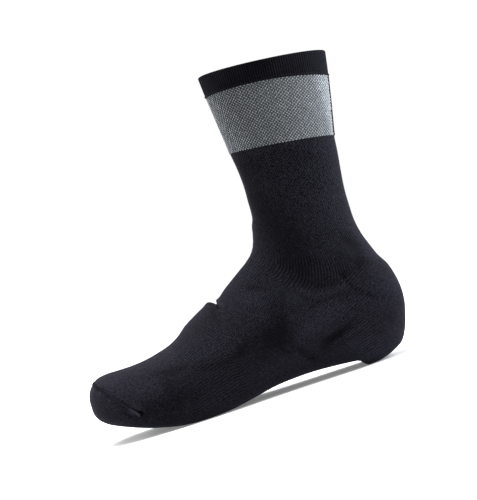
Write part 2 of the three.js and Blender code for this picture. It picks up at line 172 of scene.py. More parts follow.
# Folds and hollows of the stretched knit. Each has a route seen from the outer side, a spread and a height,
# all as shares of the foot's length, and a change of painted light and shade. Below zero, the knit sinks in
# or has painted shade; above zero, it has painted light.
FORMS = [
    # The topline: the knit spans the hollow above it, in painted shade, and lies on the edge below, with a
    # painted highlight.
    ([(0.7, 0.306), (0.735, 0.281), (0.76, 0.268), (0.797, 0.266), (0.84, 0.274), (0.875, 0.287)],
     0.014, -0.0044, -0.24),
    ([(0.695, 0.282), (0.7315, 0.253), (0.759, 0.2405), (0.797, 0.239), (0.831, 0.2436), (0.85, 0.25)],
     0.007, 0.0032, 0.38),
    ([(0.7564, 0.228), (0.8208, 0.223), (0.857, 0.228)], 0.007, -0.0016, -0.2),
    # Painted shade on the middle of the shaft, down to the ankle.
    ([(0.63, 0.62), (0.66, 0.54), (0.69, 0.46), (0.715, 0.38), (0.74, 0.35)], 0.055, 0, -0.44),
    ([(0.64, 0.7), (0.7, 0.58), (0.76, 0.46)], 0.09, 0, -0.22),
    ([(0.6, 0.69), (0.7, 0.67), (0.84, 0.65)], 0.045, 0, -0.18),
    ([(0.69, 0.36), (0.73, 0.32), (0.78, 0.295), (0.83, 0.305), (0.86, 0.35)], 0.036, -0.003, -0.22),
    # Trough across the heel's side, with finer creases beside it, in painted shade, with painted highlights
    # on the ridges between.
    ([(0.722, 0.106), (0.762, 0.1145), (0.797, 0.1264), (0.825, 0.134)], 0.0105, -0.0042, -0.2),
    ([(0.726, 0.098), (0.75, 0.108), (0.776, 0.12)], 0.022, -0.002, -0.36),
    ([(0.8, 0.137), (0.84, 0.155), (0.87, 0.168)], 0.0045, -0.0018, -0.22),
    ([(0.72, 0.124), (0.77, 0.136), (0.82, 0.153), (0.86, 0.16)], 0.007, 0.0026, 0.2),
    ([(0.745, 0.09), (0.79, 0.104), (0.83, 0.114), (0.87, 0.122)], 0.004, 0.0016, 0.2),
    ([(0.755, 0.081), (0.8, 0.094), (0.84, 0.103)], 0.004, -0.0016, -0.16),
    ([(0.845, 0.09), (0.868, 0.07), (0.882, 0.05)], 0.006, 0.0012, 0.14),
    # Bulge of the side below the ankle, with a painted highlight.
    ([(0.7, 0.156), (0.735, 0.174), (0.79, 0.182)], 0.025, 0.0056, 0.46),
    ([(0.7496, 0.1963), (0.794, 0.213)], 0.006, 0.0012, 0.2),
    # Hollows at the waist, where the knit spans a gap, and the short creases between them, in painted shade
    # with a painted highlight on each ridge.
    ([(0.625, 0.242), (0.632, 0.218)], 0.03, -0.0066, -0.3),
    ([(0.59, 0.19), (0.62, 0.172)], 0.036, -0.002, -0.26),
    ([(0.645, 0.265), (0.66, 0.28), (0.68, 0.305)], 0.014, -0.0012, -0.14),
    ([(0.652, 0.228), (0.664, 0.205)], 0.0055, 0.0018, 0.3),
    ([(0.5, 0.168), (0.54, 0.17), (0.575, 0.172), (0.605, 0.18)], 0.036, -0.0046, -0.38),
    ([(0.592, 0.155), (0.608, 0.125), (0.628, 0.1)], 0.009, -0.0024, -0.26),
    ([(0.604, 0.139), (0.63, 0.111)], 0.0048, 0.002, 0.34),
    ([(0.643, 0.12), (0.6686, 0.08), (0.69, 0.065)], 0.0095, -0.0038, -0.42),
    # Long creases beside the forefoot, with a soft swell between them, all in painted shade.
    ([(0.18, 0.171), (0.227, 0.167), (0.303, 0.1617), (0.332, 0.157)], 0.0125, -0.0028, -0.32),
    ([(0.335, 0.149), (0.38, 0.143), (0.4325, 0.141), (0.47, 0.15), (0.5, 0.168)], 0.015, -0.003, -0.3),
    ([(0.2, 0.156), (0.25, 0.15), (0.31, 0.14)], 0.024, 0.001, -0.12),
    ([(0.165, 0.078), (0.25, 0.08), (0.33, 0.09), (0.42, 0.105), (0.52, 0.12), (0.6, 0.125)],
     0.04, -0.002, -0.24),
    # Hollow beside the tendon above the heel, and the small ridge where the heel's rows turn, with painted
    # shade in the hollows and along the turn and a painted highlight on the ridge.
    ([(0.885, 0.375), (0.898, 0.35), (0.905, 0.325), (0.893, 0.295)], 0.0195, -0.005, -0.5),
    ([(0.82, 0.284), (0.839, 0.2565)], 0.005, 0.0018, 0.28),
    ([(0.831, 0.287), (0.851, 0.257)], 0.005, -0.0018, -0.2),
    ([(0.925, 0.135), (0.93, 0.105)], 0.02, -0.0012, -0.22),
    (GORE_ROUTE, 0.0036, -0.0016, -0.9),
    # The lit low side of the heel.
    ([(0.82, 0.07), (0.87, 0.055), (0.93, 0.07)], 0.035, 0, 0.26),
    # The rounded toe, painted lighter above and in front, the vamp behind it in painted shade, and the curl
    # where the seam begins, with a painted highlight and painted shade beside it.
    ([(0.12, 0.19), (0.2, 0.205), (0.28, 0.21)], 0.03, 0, 0.1),
    ([(0.32, 0.24), (0.38, 0.265), (0.43, 0.285)], 0.035, 0, -0.2),
    ([(0.06, 0.19), (0.09, 0.15), (0.14, 0.13), (0.2, 0.14)], 0.034, 0, 0.52),
    ([(0.044, 0.157), (0.052, 0.17), (0.064, 0.162)], 0.0042, 0.0022, 0.4),
    ([(0.05, 0.182), (0.062, 0.174), (0.074, 0.163)], 0.0036, -0.0014, -0.36),
    # Folds in front of the ankle, with painted highlights on their crests and painted shade between.
    ([(0.56, 0.39), (0.58, 0.37), (0.61, 0.355)], 0.01, 0.0026, 0.16),
    ([(0.555, 0.328), (0.585, 0.317), (0.62, 0.302)], 0.012, -0.003, -0.2),
    ([(0.53, 0.283), (0.57, 0.283), (0.602, 0.268)], 0.018, 0.0026, 0.22),
    # The thin ridge near the floor where an edge presses through, and the lit edge below it.
    ([(0.13, 0.04), (0.197, 0.024), (0.288, 0.011), (0.379, 0.011), (0.47, 0.022), (0.56, 0.036),
      (0.65, 0.04), (0.74, 0.037), (0.81, 0.032)], 0.0035, 0.0014, 0.2),
    ([(0.34, -0.004), (0.45, 0.008), (0.55, 0.022), (0.65, 0.03), (0.78, 0.018), (0.9, 0.03), (0.97, 0.06)],
     0.016, 0, 0.5),
    # The knit tucked under the instep's fold, in painted shade.
    ([(0.433, 0.3165), (0.4445, 0.3115), (0.4545, 0.3085), (0.4585, 0.297)], 0.0036, -0.001, -0.75),
]
FORM_ENDS = 0.16  # share of a thin form's route over which each end fades
BROAD = 0.019  # a form that spreads this far ends round
SIDEWAYS = (0.1, 0.45)  # how far the knit turns sideways where forms begin, and where they are full
INNER_SIDE = 0.6  # the unseen inner side has the same forms, weaker
INNER_SHIFT = 0.02  # and further back, by this share of the foot's length

# The slit where the knit tucks under itself on the instep, from the top line down, as shares of the foot's
# length. Its parts are a lip, a low swell in front and the slit itself: distance behind the route, spread and
# rise in metres, and change of painted light: a painted highlight on the lip and painted shade in the slit.
NICK_ROUTE = [(0.4525, 0.325), (0.4545, 0.311), (0.457, 0.3), (0.459, 0.292)]
NICK_PARTS = [
    (2.3 * MM, 1.5 * MM, 0.9 * MM, 0.7),
    (-3.68 * MM, 3 * MM, 0.36 * MM, 0),
    (0, 0.75 * MM, -1.3 * MM, -1),
]
NICK_END = 1.2 * MM  # spread of the slit past its ends
NICK_FADE = 0.3  # share of its route over which its lower end fades

# Puckers that the toe seam's end makes in the knit: distance behind the seam, height above its end, their two
# spreads, and rise, in millimetres. They are an ear, a crest behind it, a pit, and a low place in front.
SEAM_PUCKERS = [
    (-0.9, 4.4, 1.6, 2.4, 1.9),
    (4.6, 8, 1.8, 4, 0.9),
    (2.2, 3.2, 1.5, 1.5, -2.4),
    (-4.6, 4, 1.8, 4, -0.5),
]
# A furrow runs along each side of the seam, in millimetres: distance from it, spread and depth, and the
# heights over which it begins and grows weaker.
FURROW_AT, FURROW_SPREAD, FURROW_DEPTH = 1.7, 0.9, 0.3
FURROW_START = (-2, 2)
FURROW_FADE = (6, 20)
FURROW_LEFT = 0.5  # share of its depth that is left at the top of the toe
PUCKER_PAINTED_LIGHT = 1.7 * MM  # a pucker of this height paints the knit lighter by 1 as a painted highlight, or darker as painted shade where it sinks
PUCKER_PAINTED_LIGHT_MOST = 1.2
SEAM_SPREAD = 2.4  # the toe seam's bow is full at the ball's width over this from the middle

ROW_STEP = 1.75 * MM
FINE_STEP = 0.65 * MM
FINE_ROWS = [0.1, 0.175, 0.405, 0.495]  # shares of the foot's length between which the rows are close
FIRST_ROWS = [0, 0.25, 0.6]  # the rows nearest the toe's pole, in steps
BAND_ROWS = 34

# Where the zones of the finish begin and end, as shares of the foot's length unless said otherwise.
FACING = (0.3, 0.8)  # how far the knit turns sideways
LATTICE_EDGE = [(0.6, 0.6), (1.0, 0.5)]  # the close pattern under the band ends along this line
LATTICE_SOFT = 0.02
FAN_SOFT = 0.012
SOLE_GAP = (4 * MM, 12 * MM)  # height above the sole line
FORE_START = (0.2, 0.35)
FORE_END = (0.45, 0.58)
FORE_RIB = 0.6  # strength of the wales beside the forefoot
RIB_LEFT = 0.6  # strength of the wales at the top of the shaft
RIB_FADE = (0.34, 0.42)
FAN_START = (0.45, 0.62)
FAN_END = (0.86, 0.95)
FAN_LOW = 0.7  # strength of the fan near the sole
FAN_RISE = (0.22, 0.27)

# Below the ankle the wales spread like a fan from a point under the arch, up to the edge where they meet the
# shaft's own wales, as shares of the foot's length.
FAN_CENTRE = (0.235, -0.091)
FAN_TOP = [(0.5, 0.36), (0.62, 0.335), (0.68, 0.29), (0.73, 0.262), (0.78, 0.25), (0.84, 0.262), (0.9, 0.3)]
FAN_WALES = 83.0  # wales to a radian

QUARTER_STEPS = 90  # points on half a section's curve, above and below where it is widest
JOIN = 0.01 * MM  # pieces that are knitted on to each other part by twice this
MERGE = 0.002 * MM  # points closer than this are one
NEAR = 0.5 * MM  # directions on the shaft are measured between places this far on each side
TINY = 1e-12
TOEWARDS = (-1.0, 0.0, 0.0)  # normal where the toe closes, and no other is found
SOLE_WALL = 1.6  # the sole's thickness over the single knit's

# Rounded stitches: width, length and height of each, and how far apart they lie.
STITCH_SIZE = (1.5 * MM, 1.6 * MM, 1.0 * MM)
LINK_SIZE = (0.8 * MM, 1.6 * MM, 0.95 * MM)
LINK_PITCH = 1.25 * MM
LINK_OFFSET = 0.6 * MM  # of each of the two rows from the seam's middle
DASH_SIZE = (1.2 * MM, 3.2 * MM, 0.5 * MM)
DASH_PITCH = 2.6 * MM

# Scales of the finishes' noise, to a metre.
FIBRE = 1550.0
CLOUD = 38.0
SOFT_FIBRE = 900.0
CUFF_CLOUD = 60.0
PATCH = 260.0
BEAD = 2600.0
TWIST = 1500.0
LINE_BREAKS = 420.0

WALE_ROUND = 0.8  # below 1, a ridge is broader on top
COURSE_ROUND = 0.7
SHEEN_ROUGHNESS = 0.35
YARN_DARK, YARN_LIGHT = 0.44, 1.5  # the reflective yarn's darkest and lightest, over its colour, for its patches and its painted light
THREAD_HIGHLIGHT = 2.6  # the seam thread's painted highlight, over the black knit's crown colour

# The dark lines beside the toe seam: distance from it, soft edge, and heights over which they grow faint.
LINE_AT = 1.6 * MM
LINE_EDGE = (0.2 * MM, 0.9 * MM)
LINE_FADE = (24 * MM, 44 * MM)

# The front of the reflective band, where painted light makes it lighter.
FRONT_LEAN = 0.23
FRONT_WIDTH = 20 * MM

# The camera, and the soft lights: name, place, aim, size, power in watts and colour.
CAMERA_ROLL = 18 * DEGREE
CAMERA_AIM = (0.01935, 0.1266)
CAMERA_DISTANCE = 1.5
VIEW_WIDTH = 0.43  # the picture's longer side, measured at the overshoe's middle
FLOOR_LENGTH = 30.0
WORLD_STRENGTH = 1.02
FLOOR_GLOW = 0.5
GLOW_NEAR = 0.32  # share of the glow close to the overshoe, so that its shadow shows
GLOW_REACH = (0.2, 1.2)
WHITE = (1.0, 1.0, 1.0)
LIGHTS = [
    ("top light", (-0.2, 0.1, 1.5), (0, 0, 0.1), (1.2, 1.2), 62.0, WHITE),
    ("toe light", (-0.6, 0.05, 0.2), (-0.13, 0, 0.05), (0.4, 0.4), 2.6, (0.95, 0.96, 1.0)),
    ("heel light", (1.3, 0.1, 0.6), (0.1, 0, 0.12), (0.8, 1.2), 48.0, (0.9, 0.92, 1.0)),
]

# Columns of a cloth's table, one row for each of its points.
PLACE = slice(0, 3)
NORMAL = slice(3, 6)
KNIT = slice(6, 8)
ZONES = ("rib", "fan", "lattice", "painted_light_and_shade")
ZONE_START = 8


def metres(name, default, description):
    """A length that the user may change."""
    return bpy.props.FloatProperty(
        name=name, description=description, default=default, min=0.0, precision=4, unit="LENGTH")


def whole(name, default, description):
    """A number of things that the user may change."""
    return bpy.props.IntProperty(name=name, description=description, default=default, min=1)


def tint(name, default, description):
    """A colour that the user may change."""
    return bpy.props.FloatVectorProperty(
        name=name, description=description, default=default, size=3, min=0.0, max=1.0, subtype="COLOR")


class OvershoeSizes(bpy.types.PropertyGroup):
    """Sizes of the overshoe and its stitches."""

    foot_length: metres("Foot length", 0.285, "Toe tip to the back of the heel")
    ball_width: metres("Ball width", 0.103, "Across the widest part of the forefoot")
    ankle_height: metres("Ankle height", 0.148, "Floor to the front of the ankle")
    collar_height: metres("Collar height", COLLAR_Z, "Floor to the front of the collar")
    ankle_depth: metres("Ankle depth", 0.082, "Front to back at the narrowest part of the shaft")
    ankle_width: metres("Ankle width", 0.066, "Side to side at the narrowest part of the shaft")
    collar_depth: metres("Collar depth", 0.1105, "Front to back at the collar")
    collar_width: metres("Collar width", 0.09, "Side to side at the collar")
    knit_wall: metres("Knit thickness", 1.1 * MM, "Thickness of the single knit")
    cuff_height: metres("Cuff height", 18.5 * MM, "Height of the turned cuff")
    cuff_bow: metres("Cuff bow", 2.0 * MM, "How far the cuff's lower edge is drawn up at the sides")
    band_height: metres("Band height", 52 * MM, "Height of the reflective band")
    strip_rise: metres("Strip rise", 0.8 * MM, "How far the back strip stands out beside the reflective band")
    sole_edge: metres("Sole edge", 8 * MM, "How far the sole turns up the sides")
    heel_turn_up: metres("Heel turn-up", 19 * MM, "Floor to the top of the sole behind the heel")
    seam_foot: metres("Seam foot", 53.5 * MM, "Toe tip to where the toe seam's line would meet the floor")
    seam_slope: bpy.props.FloatProperty(
        name="Seam slope", description="Lean of the toe seam from the floor", default=51 * DEGREE,
        subtype="ANGLE")
    seam_bow: metres("Seam bow", 3.2 * MM, "How far the toe seam bows back from its plane at the sides")
    course: metres("Course", 1.5 * MM, "Height of one row of stitches")
    lattice_row: metres("Lattice row", 1.36 * MM, "From one row of the close pattern to the next")
    wales: whole("Wales", 122, "Columns of stitches round the knit")
    lattice_columns: whole("Lattice columns", 92, "Stitches in one row of the close pattern and of the band")
    around: whole("Points round", 240, "Points round each row of the single knit")
    cuff_ribs: whole("Cuff ribs", 150, "Ribs round the cuff")


class OvershoeColours(bpy.types.PropertyGroup):
    """Colours of the yarns and of the stage."""

    knit: tint("Knit", (0.0012, 0.0012, 0.0018), "Black elastic yarn")
    # The crowns' colour is the light end of the knit's colour: partly painted highlight on the crowns, and
    # the painted light of the folds.
    knit_light: tint("Knit crowns", (0.0155, 0.015, 0.0218), "Crowns of the black stitches")
    cuff: tint("Cuff", (0.0009, 0.0009, 0.0012), "Black elastic of the cuff")
    grey: tint("Reflective yarn", (0.183, 0.2, 0.212), "Light grey reflective yarn")
    ground: tint("Band ground", (0.012, 0.0125, 0.014), "Dark ground between the reflective stitches")
    sheen: tint("Sheen", (0.62, 0.62, 0.86), "Light on the yarn's fine fibres")
    floor: tint("Floor", (0.55, 0.55, 0.55), "Pale floor")


def smoothstep(value, low, high):
    t = np.clip((value - low) / (high - low), 0, 1)
    return t * t * (3 - 2 * t)


def bell(distance, width):
    return np.exp(-(distance / width) ** 2)


def walked(path):
    """How far along a path each of its points lies."""
    return np.concatenate([[0], np.cumsum(np.linalg.norm(np.diff(path, axis=0), axis=1))])


def resampled(want, length, values):
    """The values at the wanted distances along a path."""
    return np.stack([np.interp(want, length, column) for column in values.T], 1)


def foot_shares(sizes, points):
    """How far each point lies behind the toe tip and above the floor, as shares of the foot's length."""
    return (points[..., 0] - TOE_X) / sizes.foot_length, points[..., 2] / sizes.foot_length


def side_y(sizes):
    """The middle plane, set so that the outer side reaches the frame's."""
    return SIDE_Y + 0.5 * sizes.ball_width


def shaft_depth(sizes, flare):
    return sizes.ankle_depth + flare * (sizes.collar_depth - sizes.ankle_depth)


def shaft_height(sizes):
    return sizes.collar_height - sizes.ankle_height


def foot_section(sizes, row):
    top_x, top_z, sole_x, sole_z, outer, inner, belly, crown, edge = row
    ankle = SHAFT_ROWS[0]
    ankle_front = ankle[1] * sizes.foot_length - shaft_depth(sizes, ankle[2]) / 2
    return {
        "top": (top_x * ankle_front, top_z * sizes.ankle_height),
        "sole": (sole_x * sizes.foot_length, sole_z * sizes.ankle_height),
        "halves": (inner * sizes.ball_width, outer * sizes.ball_width),
        "belly": belly,
        "crown": crown,
        "edge": edge,
    }


def shaft_section(sizes, row):
    up, axis_x, flare_depth, flare_width, drop, roundness = row
    depth = shaft_depth(sizes, flare_depth)
    half = (sizes.ankle_width + flare_width * (sizes.collar_width - sizes.ankle_width)) / 2
    axis = axis_x * sizes.foot_length
    front_z = sizes.ankle_height + up * shaft_height(sizes)
    return {
        "top": (axis - depth / 2, front_z),
        "sole": (axis + depth / 2, front_z - drop * depth),
        "halves": (half, half),
        "belly": 0.5,
        "crown": roundness,
        "edge": roundness,
    }


def section_ring(sizes, section, count):
    """Points round a section from the top line over the inner side to the sole line and back outside."""
    angle = np.linspace(0, math.pi / 2, QUARTER_STEPS)
    belly = section["belly"]
    upper = np.stack([np.sin(angle) ** (2 / section["crown"]),
                      belly + (1 - belly) * np.cos(angle) ** (2 / section["crown"])], 1)
    lower = np.stack([np.sin(angle) ** (2 / section["edge"]),
                      belly - belly * np.cos(angle) ** (2 / section["edge"])], 1)[::-1]
    path = np.concatenate([upper, lower[1:]])
    top = np.array(section["top"])
    sole = np.array(section["sole"])
    spine = sole + path[:, 1:] * (top - sole)
    sides = []
    for half, sign in zip(section["halves"], (1, -1)):
        points = np.stack([spine[:, 0], sign * half * path[:, 0], spine[:, 1]], 1)
        length = walked(points)
        sides.append(resampled(np.linspace(0, length[-1], count // 2 + 1), length, points))
    ring = np.concatenate([sides[0], sides[1][::-1][1:]])
    return ring + np.array([TOE_X, side_y(sizes), 0])


class Surface:
    """The overshoe's smooth outer surface, a curve along every column of the sections' points."""

    def __init__(self, sizes, sections, count, closed_toe):
        rings = [section_ring(sizes, section, count) for section in sections]
        if closed_toe:
            across, up = TOE_POLE
            pole = [TOE_X, side_y(sizes) + across * sizes.ball_width, up * sizes.ankle_height]
            rings.insert(0, np.tile(pole, (count + 1, 1)))
        self.points = np.stack(rings)
        gaps = np.linalg.norm(np.diff(self.points, axis=0), axis=2).mean(1)
        self.along = np.concatenate([[0], np.cumsum(gaps)])
        rise = np.diff(self.points, axis=0) / gaps[:, None, None]
        weight = (gaps[:-1] / (gaps[:-1] + gaps[1:]))[:, None, None]
        inner = rise[:-1] * (1 - weight) + rise[1:] * weight
        self.slopes = np.concatenate([rise[:1], inner, rise[-1:]])
        if closed_toe:
            self.slopes[0, :, 0] = 0

    def rows(self, at):
        """The surface's points at the given places along it, one row for each."""
        at = np.asarray(at, float)
        start = np.clip(np.searchsorted(self.along, at, side="right") - 1, 0, len(self.along) - 2)
        gap = (self.along[start + 1] - self.along[start])[:, None, None]
        t = (at - self.along[start])[:, None, None] / gap
        near, far = self.points[start], self.points[start + 1]
        out, back = self.slopes[start] * gap, self.slopes[start + 1] * gap
        return ((2 * t ** 3 - 3 * t ** 2 + 1) * near + (t ** 3 - 2 * t ** 2 + t) * out
                + (3 * t ** 2 - 2 * t ** 3) * far + (t ** 3 - t ** 2) * back)

    def at_shaft(self, share):
        """Where along the surface a share of the shaft's height lies."""
        ups = [row[0] for row in SHAFT_ROWS]
        return np.interp(share, ups, self.along[-len(ups):])


def across_rows(points):
    """From the point before to the point after each, round a grid whose last column repeats its first."""
    ring = points[:, :-1]
    across = np.roll(ring, -1, axis=1) - np.roll(ring, 1, axis=1)
    return np.concatenate([across, across[:, :1]], axis=1)


def grid_normals(points):
    """Outward normals of a grid whose last column repeats its first."""
    normal = np.cross(np.gradient(points, axis=0), across_rows(points))
    length = np.linalg.norm(normal, axis=2, keepdims=True)
    return np.where(length > TINY, normal / np.maximum(length, TINY), TOEWARDS)


def route_reach(x, z, route):
    """Distance of each place from a route, its signed offset behind it, and its share of the way along it."""
    route = np.array(route)
    legs = np.diff(route, axis=0)
    lengths = np.linalg.norm(legs, axis=1)
    starts = walked(route)
    best = np.full(x.shape, np.inf)
    behind = np.zeros(x.shape)
    share = np.zeros(x.shape)
    for start, leg, length, before in zip(route, legs, lengths, starts):
        dx, dz = x - start[0], z - start[1]
        t = np.clip((dx * leg[0] + dz * leg[1]) / length ** 2, 0, 1)
        distance = np.hypot(dx - t * leg[0], dz - t * leg[1])
        nearer = distance < best
        best = np.where(nearer, distance, best)
        offset = (leg[0] * dz - leg[1] * dx) / length
        behind = np.where(nearer, offset, behind)
        share = np.where(nearer, (before + t * length) / starts[-1], share)
    return best, behind, share


def pressed(sizes, points, normals):
    """How far the folds and hollows move each point outwards, and the painted light and shade that go with
    them.
    """
    x, z = foot_shares(sizes, points)
    outer = smoothstep(-normals[..., 1], *SIDEWAYS)
    inner = smoothstep(normals[..., 1], *SIDEWAYS) * INNER_SIDE
    move = np.zeros(x.shape)
    painted_light_and_shade = np.zeros(x.shape)
    for route, spread, height, shade in FORMS:
        for side, shift in ((outer, 0), (inner, INNER_SHIFT)):
            distance, _, share = route_reach(x - shift, z, route)
            form = bell(distance, spread) * side
            if spread < BROAD:
                form *= smoothstep(share, -FORM_ENDS / 3, FORM_ENDS)
                form *= smoothstep(1 - share, -FORM_ENDS / 3, FORM_ENDS)
            move += height * sizes.foot_length * form
            painted_light_and_shade += shade * form
    distance, behind, share = route_reach(x, z, NICK_ROUTE)
    distance = distance * sizes.foot_length
    behind = behind * sizes.foot_length
    fade = smoothstep(1 - share, 0, NICK_FADE) * bell(np.maximum(distance - np.abs(behind), 0), NICK_END)
    for at, spread, rise, shade in NICK_PARTS:
        form = fade * bell(behind - at, spread)
        move += rise * form
        painted_light_and_shade += shade * form
    return move, painted_light_and_shade


def sole_profile(sizes):
    """The sole line seen from the side, as x and z from the toe tip and the floor."""
    return np.array([foot_section(sizes, row)["sole"] for row in FOOT_ROWS])


def sole_line_height(sizes, x):
    """Height of the line where the sole meets the upper, at places measured from the toe tip."""
    seam_end = SEAM_BOX[0][2]
    start = sizes.seam_foot - seam_end / math.tan(sizes.seam_slope)
    line = sole_profile(sizes) + [0, sizes.sole_edge]
    line = line[(line[:, 0] > start) & (line[:, 1] < sizes.heel_turn_up)]
    return np.interp(x, line[:, 0], line[:, 1], left=line[0, 1], right=sizes.heel_turn_up)


def seam_reach(sizes, points):
    """Distance of each point behind the toe seam, which bows back from its plane at the sides."""
    x = points[..., 0] - TOE_X - sizes.seam_foot
    bow = sizes.seam_bow * (SEAM_SPREAD * (points[..., 1] - side_y(sizes)) / sizes.ball_width) ** 2
    return x * math.sin(sizes.seam_slope) + points[..., 2] * math.cos(sizes.seam_slope) - bow


def zones(sizes, points, normals, painted_light_and_shade):
    """Where the wales stand out, where the close pattern is, and the knit's painted light and shade."""
    x, z = foot_shares(sizes, points)
    facing = smoothstep(np.abs(normals[..., 1]), *FACING)
    above_sole = points[..., 2] - np.interp(points[..., 0] - TOE_X, *sole_profile(sizes)[:SOLE_ROWS].T)
    lattice = smoothstep(z - np.interp(x, *np.array(LATTICE_EDGE).T), -LATTICE_SOFT, LATTICE_SOFT)
    shaft = smoothstep(z - np.interp(x, *np.array(FAN_TOP).T), -FAN_SOFT, FAN_SOFT)
    foot = facing * (1 - shaft) * smoothstep(above_sole, *SOLE_GAP)
    fore = smoothstep(x, *FORE_START) * (1 - smoothstep(x, *FORE_END))
    strength = 1 - (1 - RIB_LEFT) * smoothstep(z, *RIB_FADE)
    rib = facing * (1 - lattice) * shaft * strength + foot * fore * FORE_RIB
    reach = smoothstep(x, *FAN_START) * (1 - smoothstep(x, *FAN_END))
    fan = foot * reach * (FAN_LOW + (1 - FAN_LOW) * smoothstep(z, *FAN_RISE))
    return np.stack([rib, fan, lattice, painted_light_and_shade], axis=-1)


class Cloth:
    """A triangle mesh with a table of its points' places, normals, knit coordinates and finish zones."""

    def __init__(self, table, faces):
        self.table = table
        self.faces = faces

    def above(self, field):
        """The part where the field is above zero, cut along zero."""
        inside = field[self.faces] > 0
        count = inside.sum(1)
        kept = [self.faces[count == 3]]
        lows, highs, corners = [], [], []
        for lone_inside in (True, False):
            chosen = count == (1 if lone_inside else 2)
            faces = self.faces[chosen]
            lone = np.argmax(inside[chosen] == lone_inside, axis=1)
            order = (lone[:, None] + np.arange(3)) % 3
            a, b, c = np.take_along_axis(faces, order, 1).T
            corners.append((a, b, c))
            for other in (b, c):
                lows.append(np.minimum(a, other))
                highs.append(np.maximum(a, other))
        edges = np.stack([np.concatenate(lows), np.concatenate(highs)], 1)
        unique, place = np.unique(edges, axis=0, return_inverse=True)
        place = place.reshape(-1)
        low, high = unique.T
        share = (field[low] / (field[low] - field[high]))[:, None]
        added = self.table[low] * (1 - share) + self.table[high] * share
        ends = np.cumsum([len(part) for part in lows])[:-1]
        on_ab, on_ac, off_ab, off_ac = np.split(place + len(self.table), ends)
        kept.append(np.stack([corners[0][0], on_ab, on_ac], 1))
        _, b, c = corners[1]
        kept.append(np.stack([off_ab, b, c], 1))
        kept.append(np.stack([off_ab, c, off_ac], 1))
        return Cloth(np.concatenate([self.table, added]), np.concatenate(kept)).trimmed()

    def trimmed(self):
        """The same cloth without points that no face uses."""
        used, faces = np.unique(self.faces, return_inverse=True)
        return Cloth(self.table[used], faces.reshape(-1, 3))

    def merged(self):
        """Its points and faces, joined across seam and poles, and each corner's knit coordinates."""
        keys = np.round(self.table[:, PLACE] / MERGE).astype(np.int64)
        _, first, place = np.unique(keys, axis=0, return_index=True, return_inverse=True)
        faces = place.reshape(-1)[self.faces]
        sound = (faces[:, 0] != faces[:, 1]) & (faces[:, 1] != faces[:, 2]) & (faces[:, 2] != faces[:, 0])
        corners = self.table[self.faces[sound].reshape(-1), KNIT]
        return self.table[first], faces[sound], corners


def grid_faces(rows, columns):
    """Two triangles for each cell of a grid, facing outwards."""
    start = (np.arange(rows - 1)[:, None] * columns + np.arange(columns - 1)).reshape(-1)
    low, high = start, start + columns
    return np.concatenate([np.stack([low, high, high + 1], 1), np.stack([low, high + 1, low + 1], 1)])


def cloth_of(points, normals, knit, zone_values):
    """A cloth made of a whole grid."""
    table = np.concatenate([points, normals, knit, zone_values], axis=-1)
    rows, columns = table.shape[:2]
    return Cloth(table.reshape(rows * columns, -1), grid_faces(rows, columns))


def knit_places(sizes, at):
    """Knit coordinates of a grid: wales round it and courses along it."""
    wales = np.linspace(0, sizes.wales, sizes.around + 1)
    return np.stack(np.meshgrid(wales, np.asarray(at) / sizes.course), axis=-1)


def whole_surface(sizes):
    """The surface from the closed toe to the collar."""
    sections = [foot_section(sizes, row) for row in FOOT_ROWS]
    sections += [shaft_section(sizes, row) for row in SHAFT_ROWS]
    return Surface(sizes, sections, sizes.around, closed_toe=True)


def shaft_shares(sizes):
    """Shares of the shaft's height at the lower edges of the band and the cuff."""
    cuff_low = 1 - sizes.cuff_height / shaft_height(sizes)
    return cuff_low - sizes.band_height / shaft_height(sizes), cuff_low


def foot_grid(sizes):
    """The shaped knit from the toe to the band: its rows' places along the surface, its points and painted
    light and shade.
    """
    surface = whole_surface(sizes)
    band_low, _ = shaft_shares(sizes)
    end = surface.at_shaft(band_low) - JOIN
    top_x, _ = foot_shares(sizes, surface.points[:TOP_ROWS, 0])
    ear, ear_end, fine, fine_end = np.interp(FINE_ROWS, top_x, surface.along[:TOP_ROWS])
    at = np.concatenate([
        np.array(FIRST_ROWS) * ROW_STEP,
        np.arange(ROW_STEP, ear, ROW_STEP),
        np.arange(ear, ear_end, ROW_STEP / 2),
        np.arange(ear_end, fine, ROW_STEP),
        np.arange(fine, fine_end, FINE_STEP),
        np.linspace(fine_end, end, int((end - fine_end) / ROW_STEP) + 1),
    ])
    points = surface.rows(at)
    normals = grid_normals(points)
    move, painted_light_and_shade = pressed(sizes, points, normals)
    points = points + normals * move[..., None]
    points[:, -1] = points[:, 0]
    puckers = toe_puckers(sizes, points)
    points = points + puckers[..., None] * normals
    return at, points, painted_light_and_shade + np.clip(puckers / PUCKER_PAINTED_LIGHT, -PUCKER_PAINTED_LIGHT_MOST, PUCKER_PAINTED_LIGHT_MOST)


def toe_puckers(sizes, points):
    """How far the toe seam draws the knit up or down beside it, and puckers it at the seam's ends."""
    reach = seam_reach(sizes, points) / MM
    height = (points[..., 2] - SEAM_BOX[0][2]) / MM
    along = smoothstep(height, *FURROW_START) * (1 - (1 - FURROW_LEFT) * smoothstep(height, *FURROW_FADE))
    rise = -FURROW_DEPTH * bell(np.abs(reach) - FURROW_AT, FURROW_SPREAD) * along
    for behind, up, spread, spread_up, most in SEAM_PUCKERS:
        rise = rise + most * bell(reach - behind, spread) * bell(height - up, spread_up)
    return rise * MM


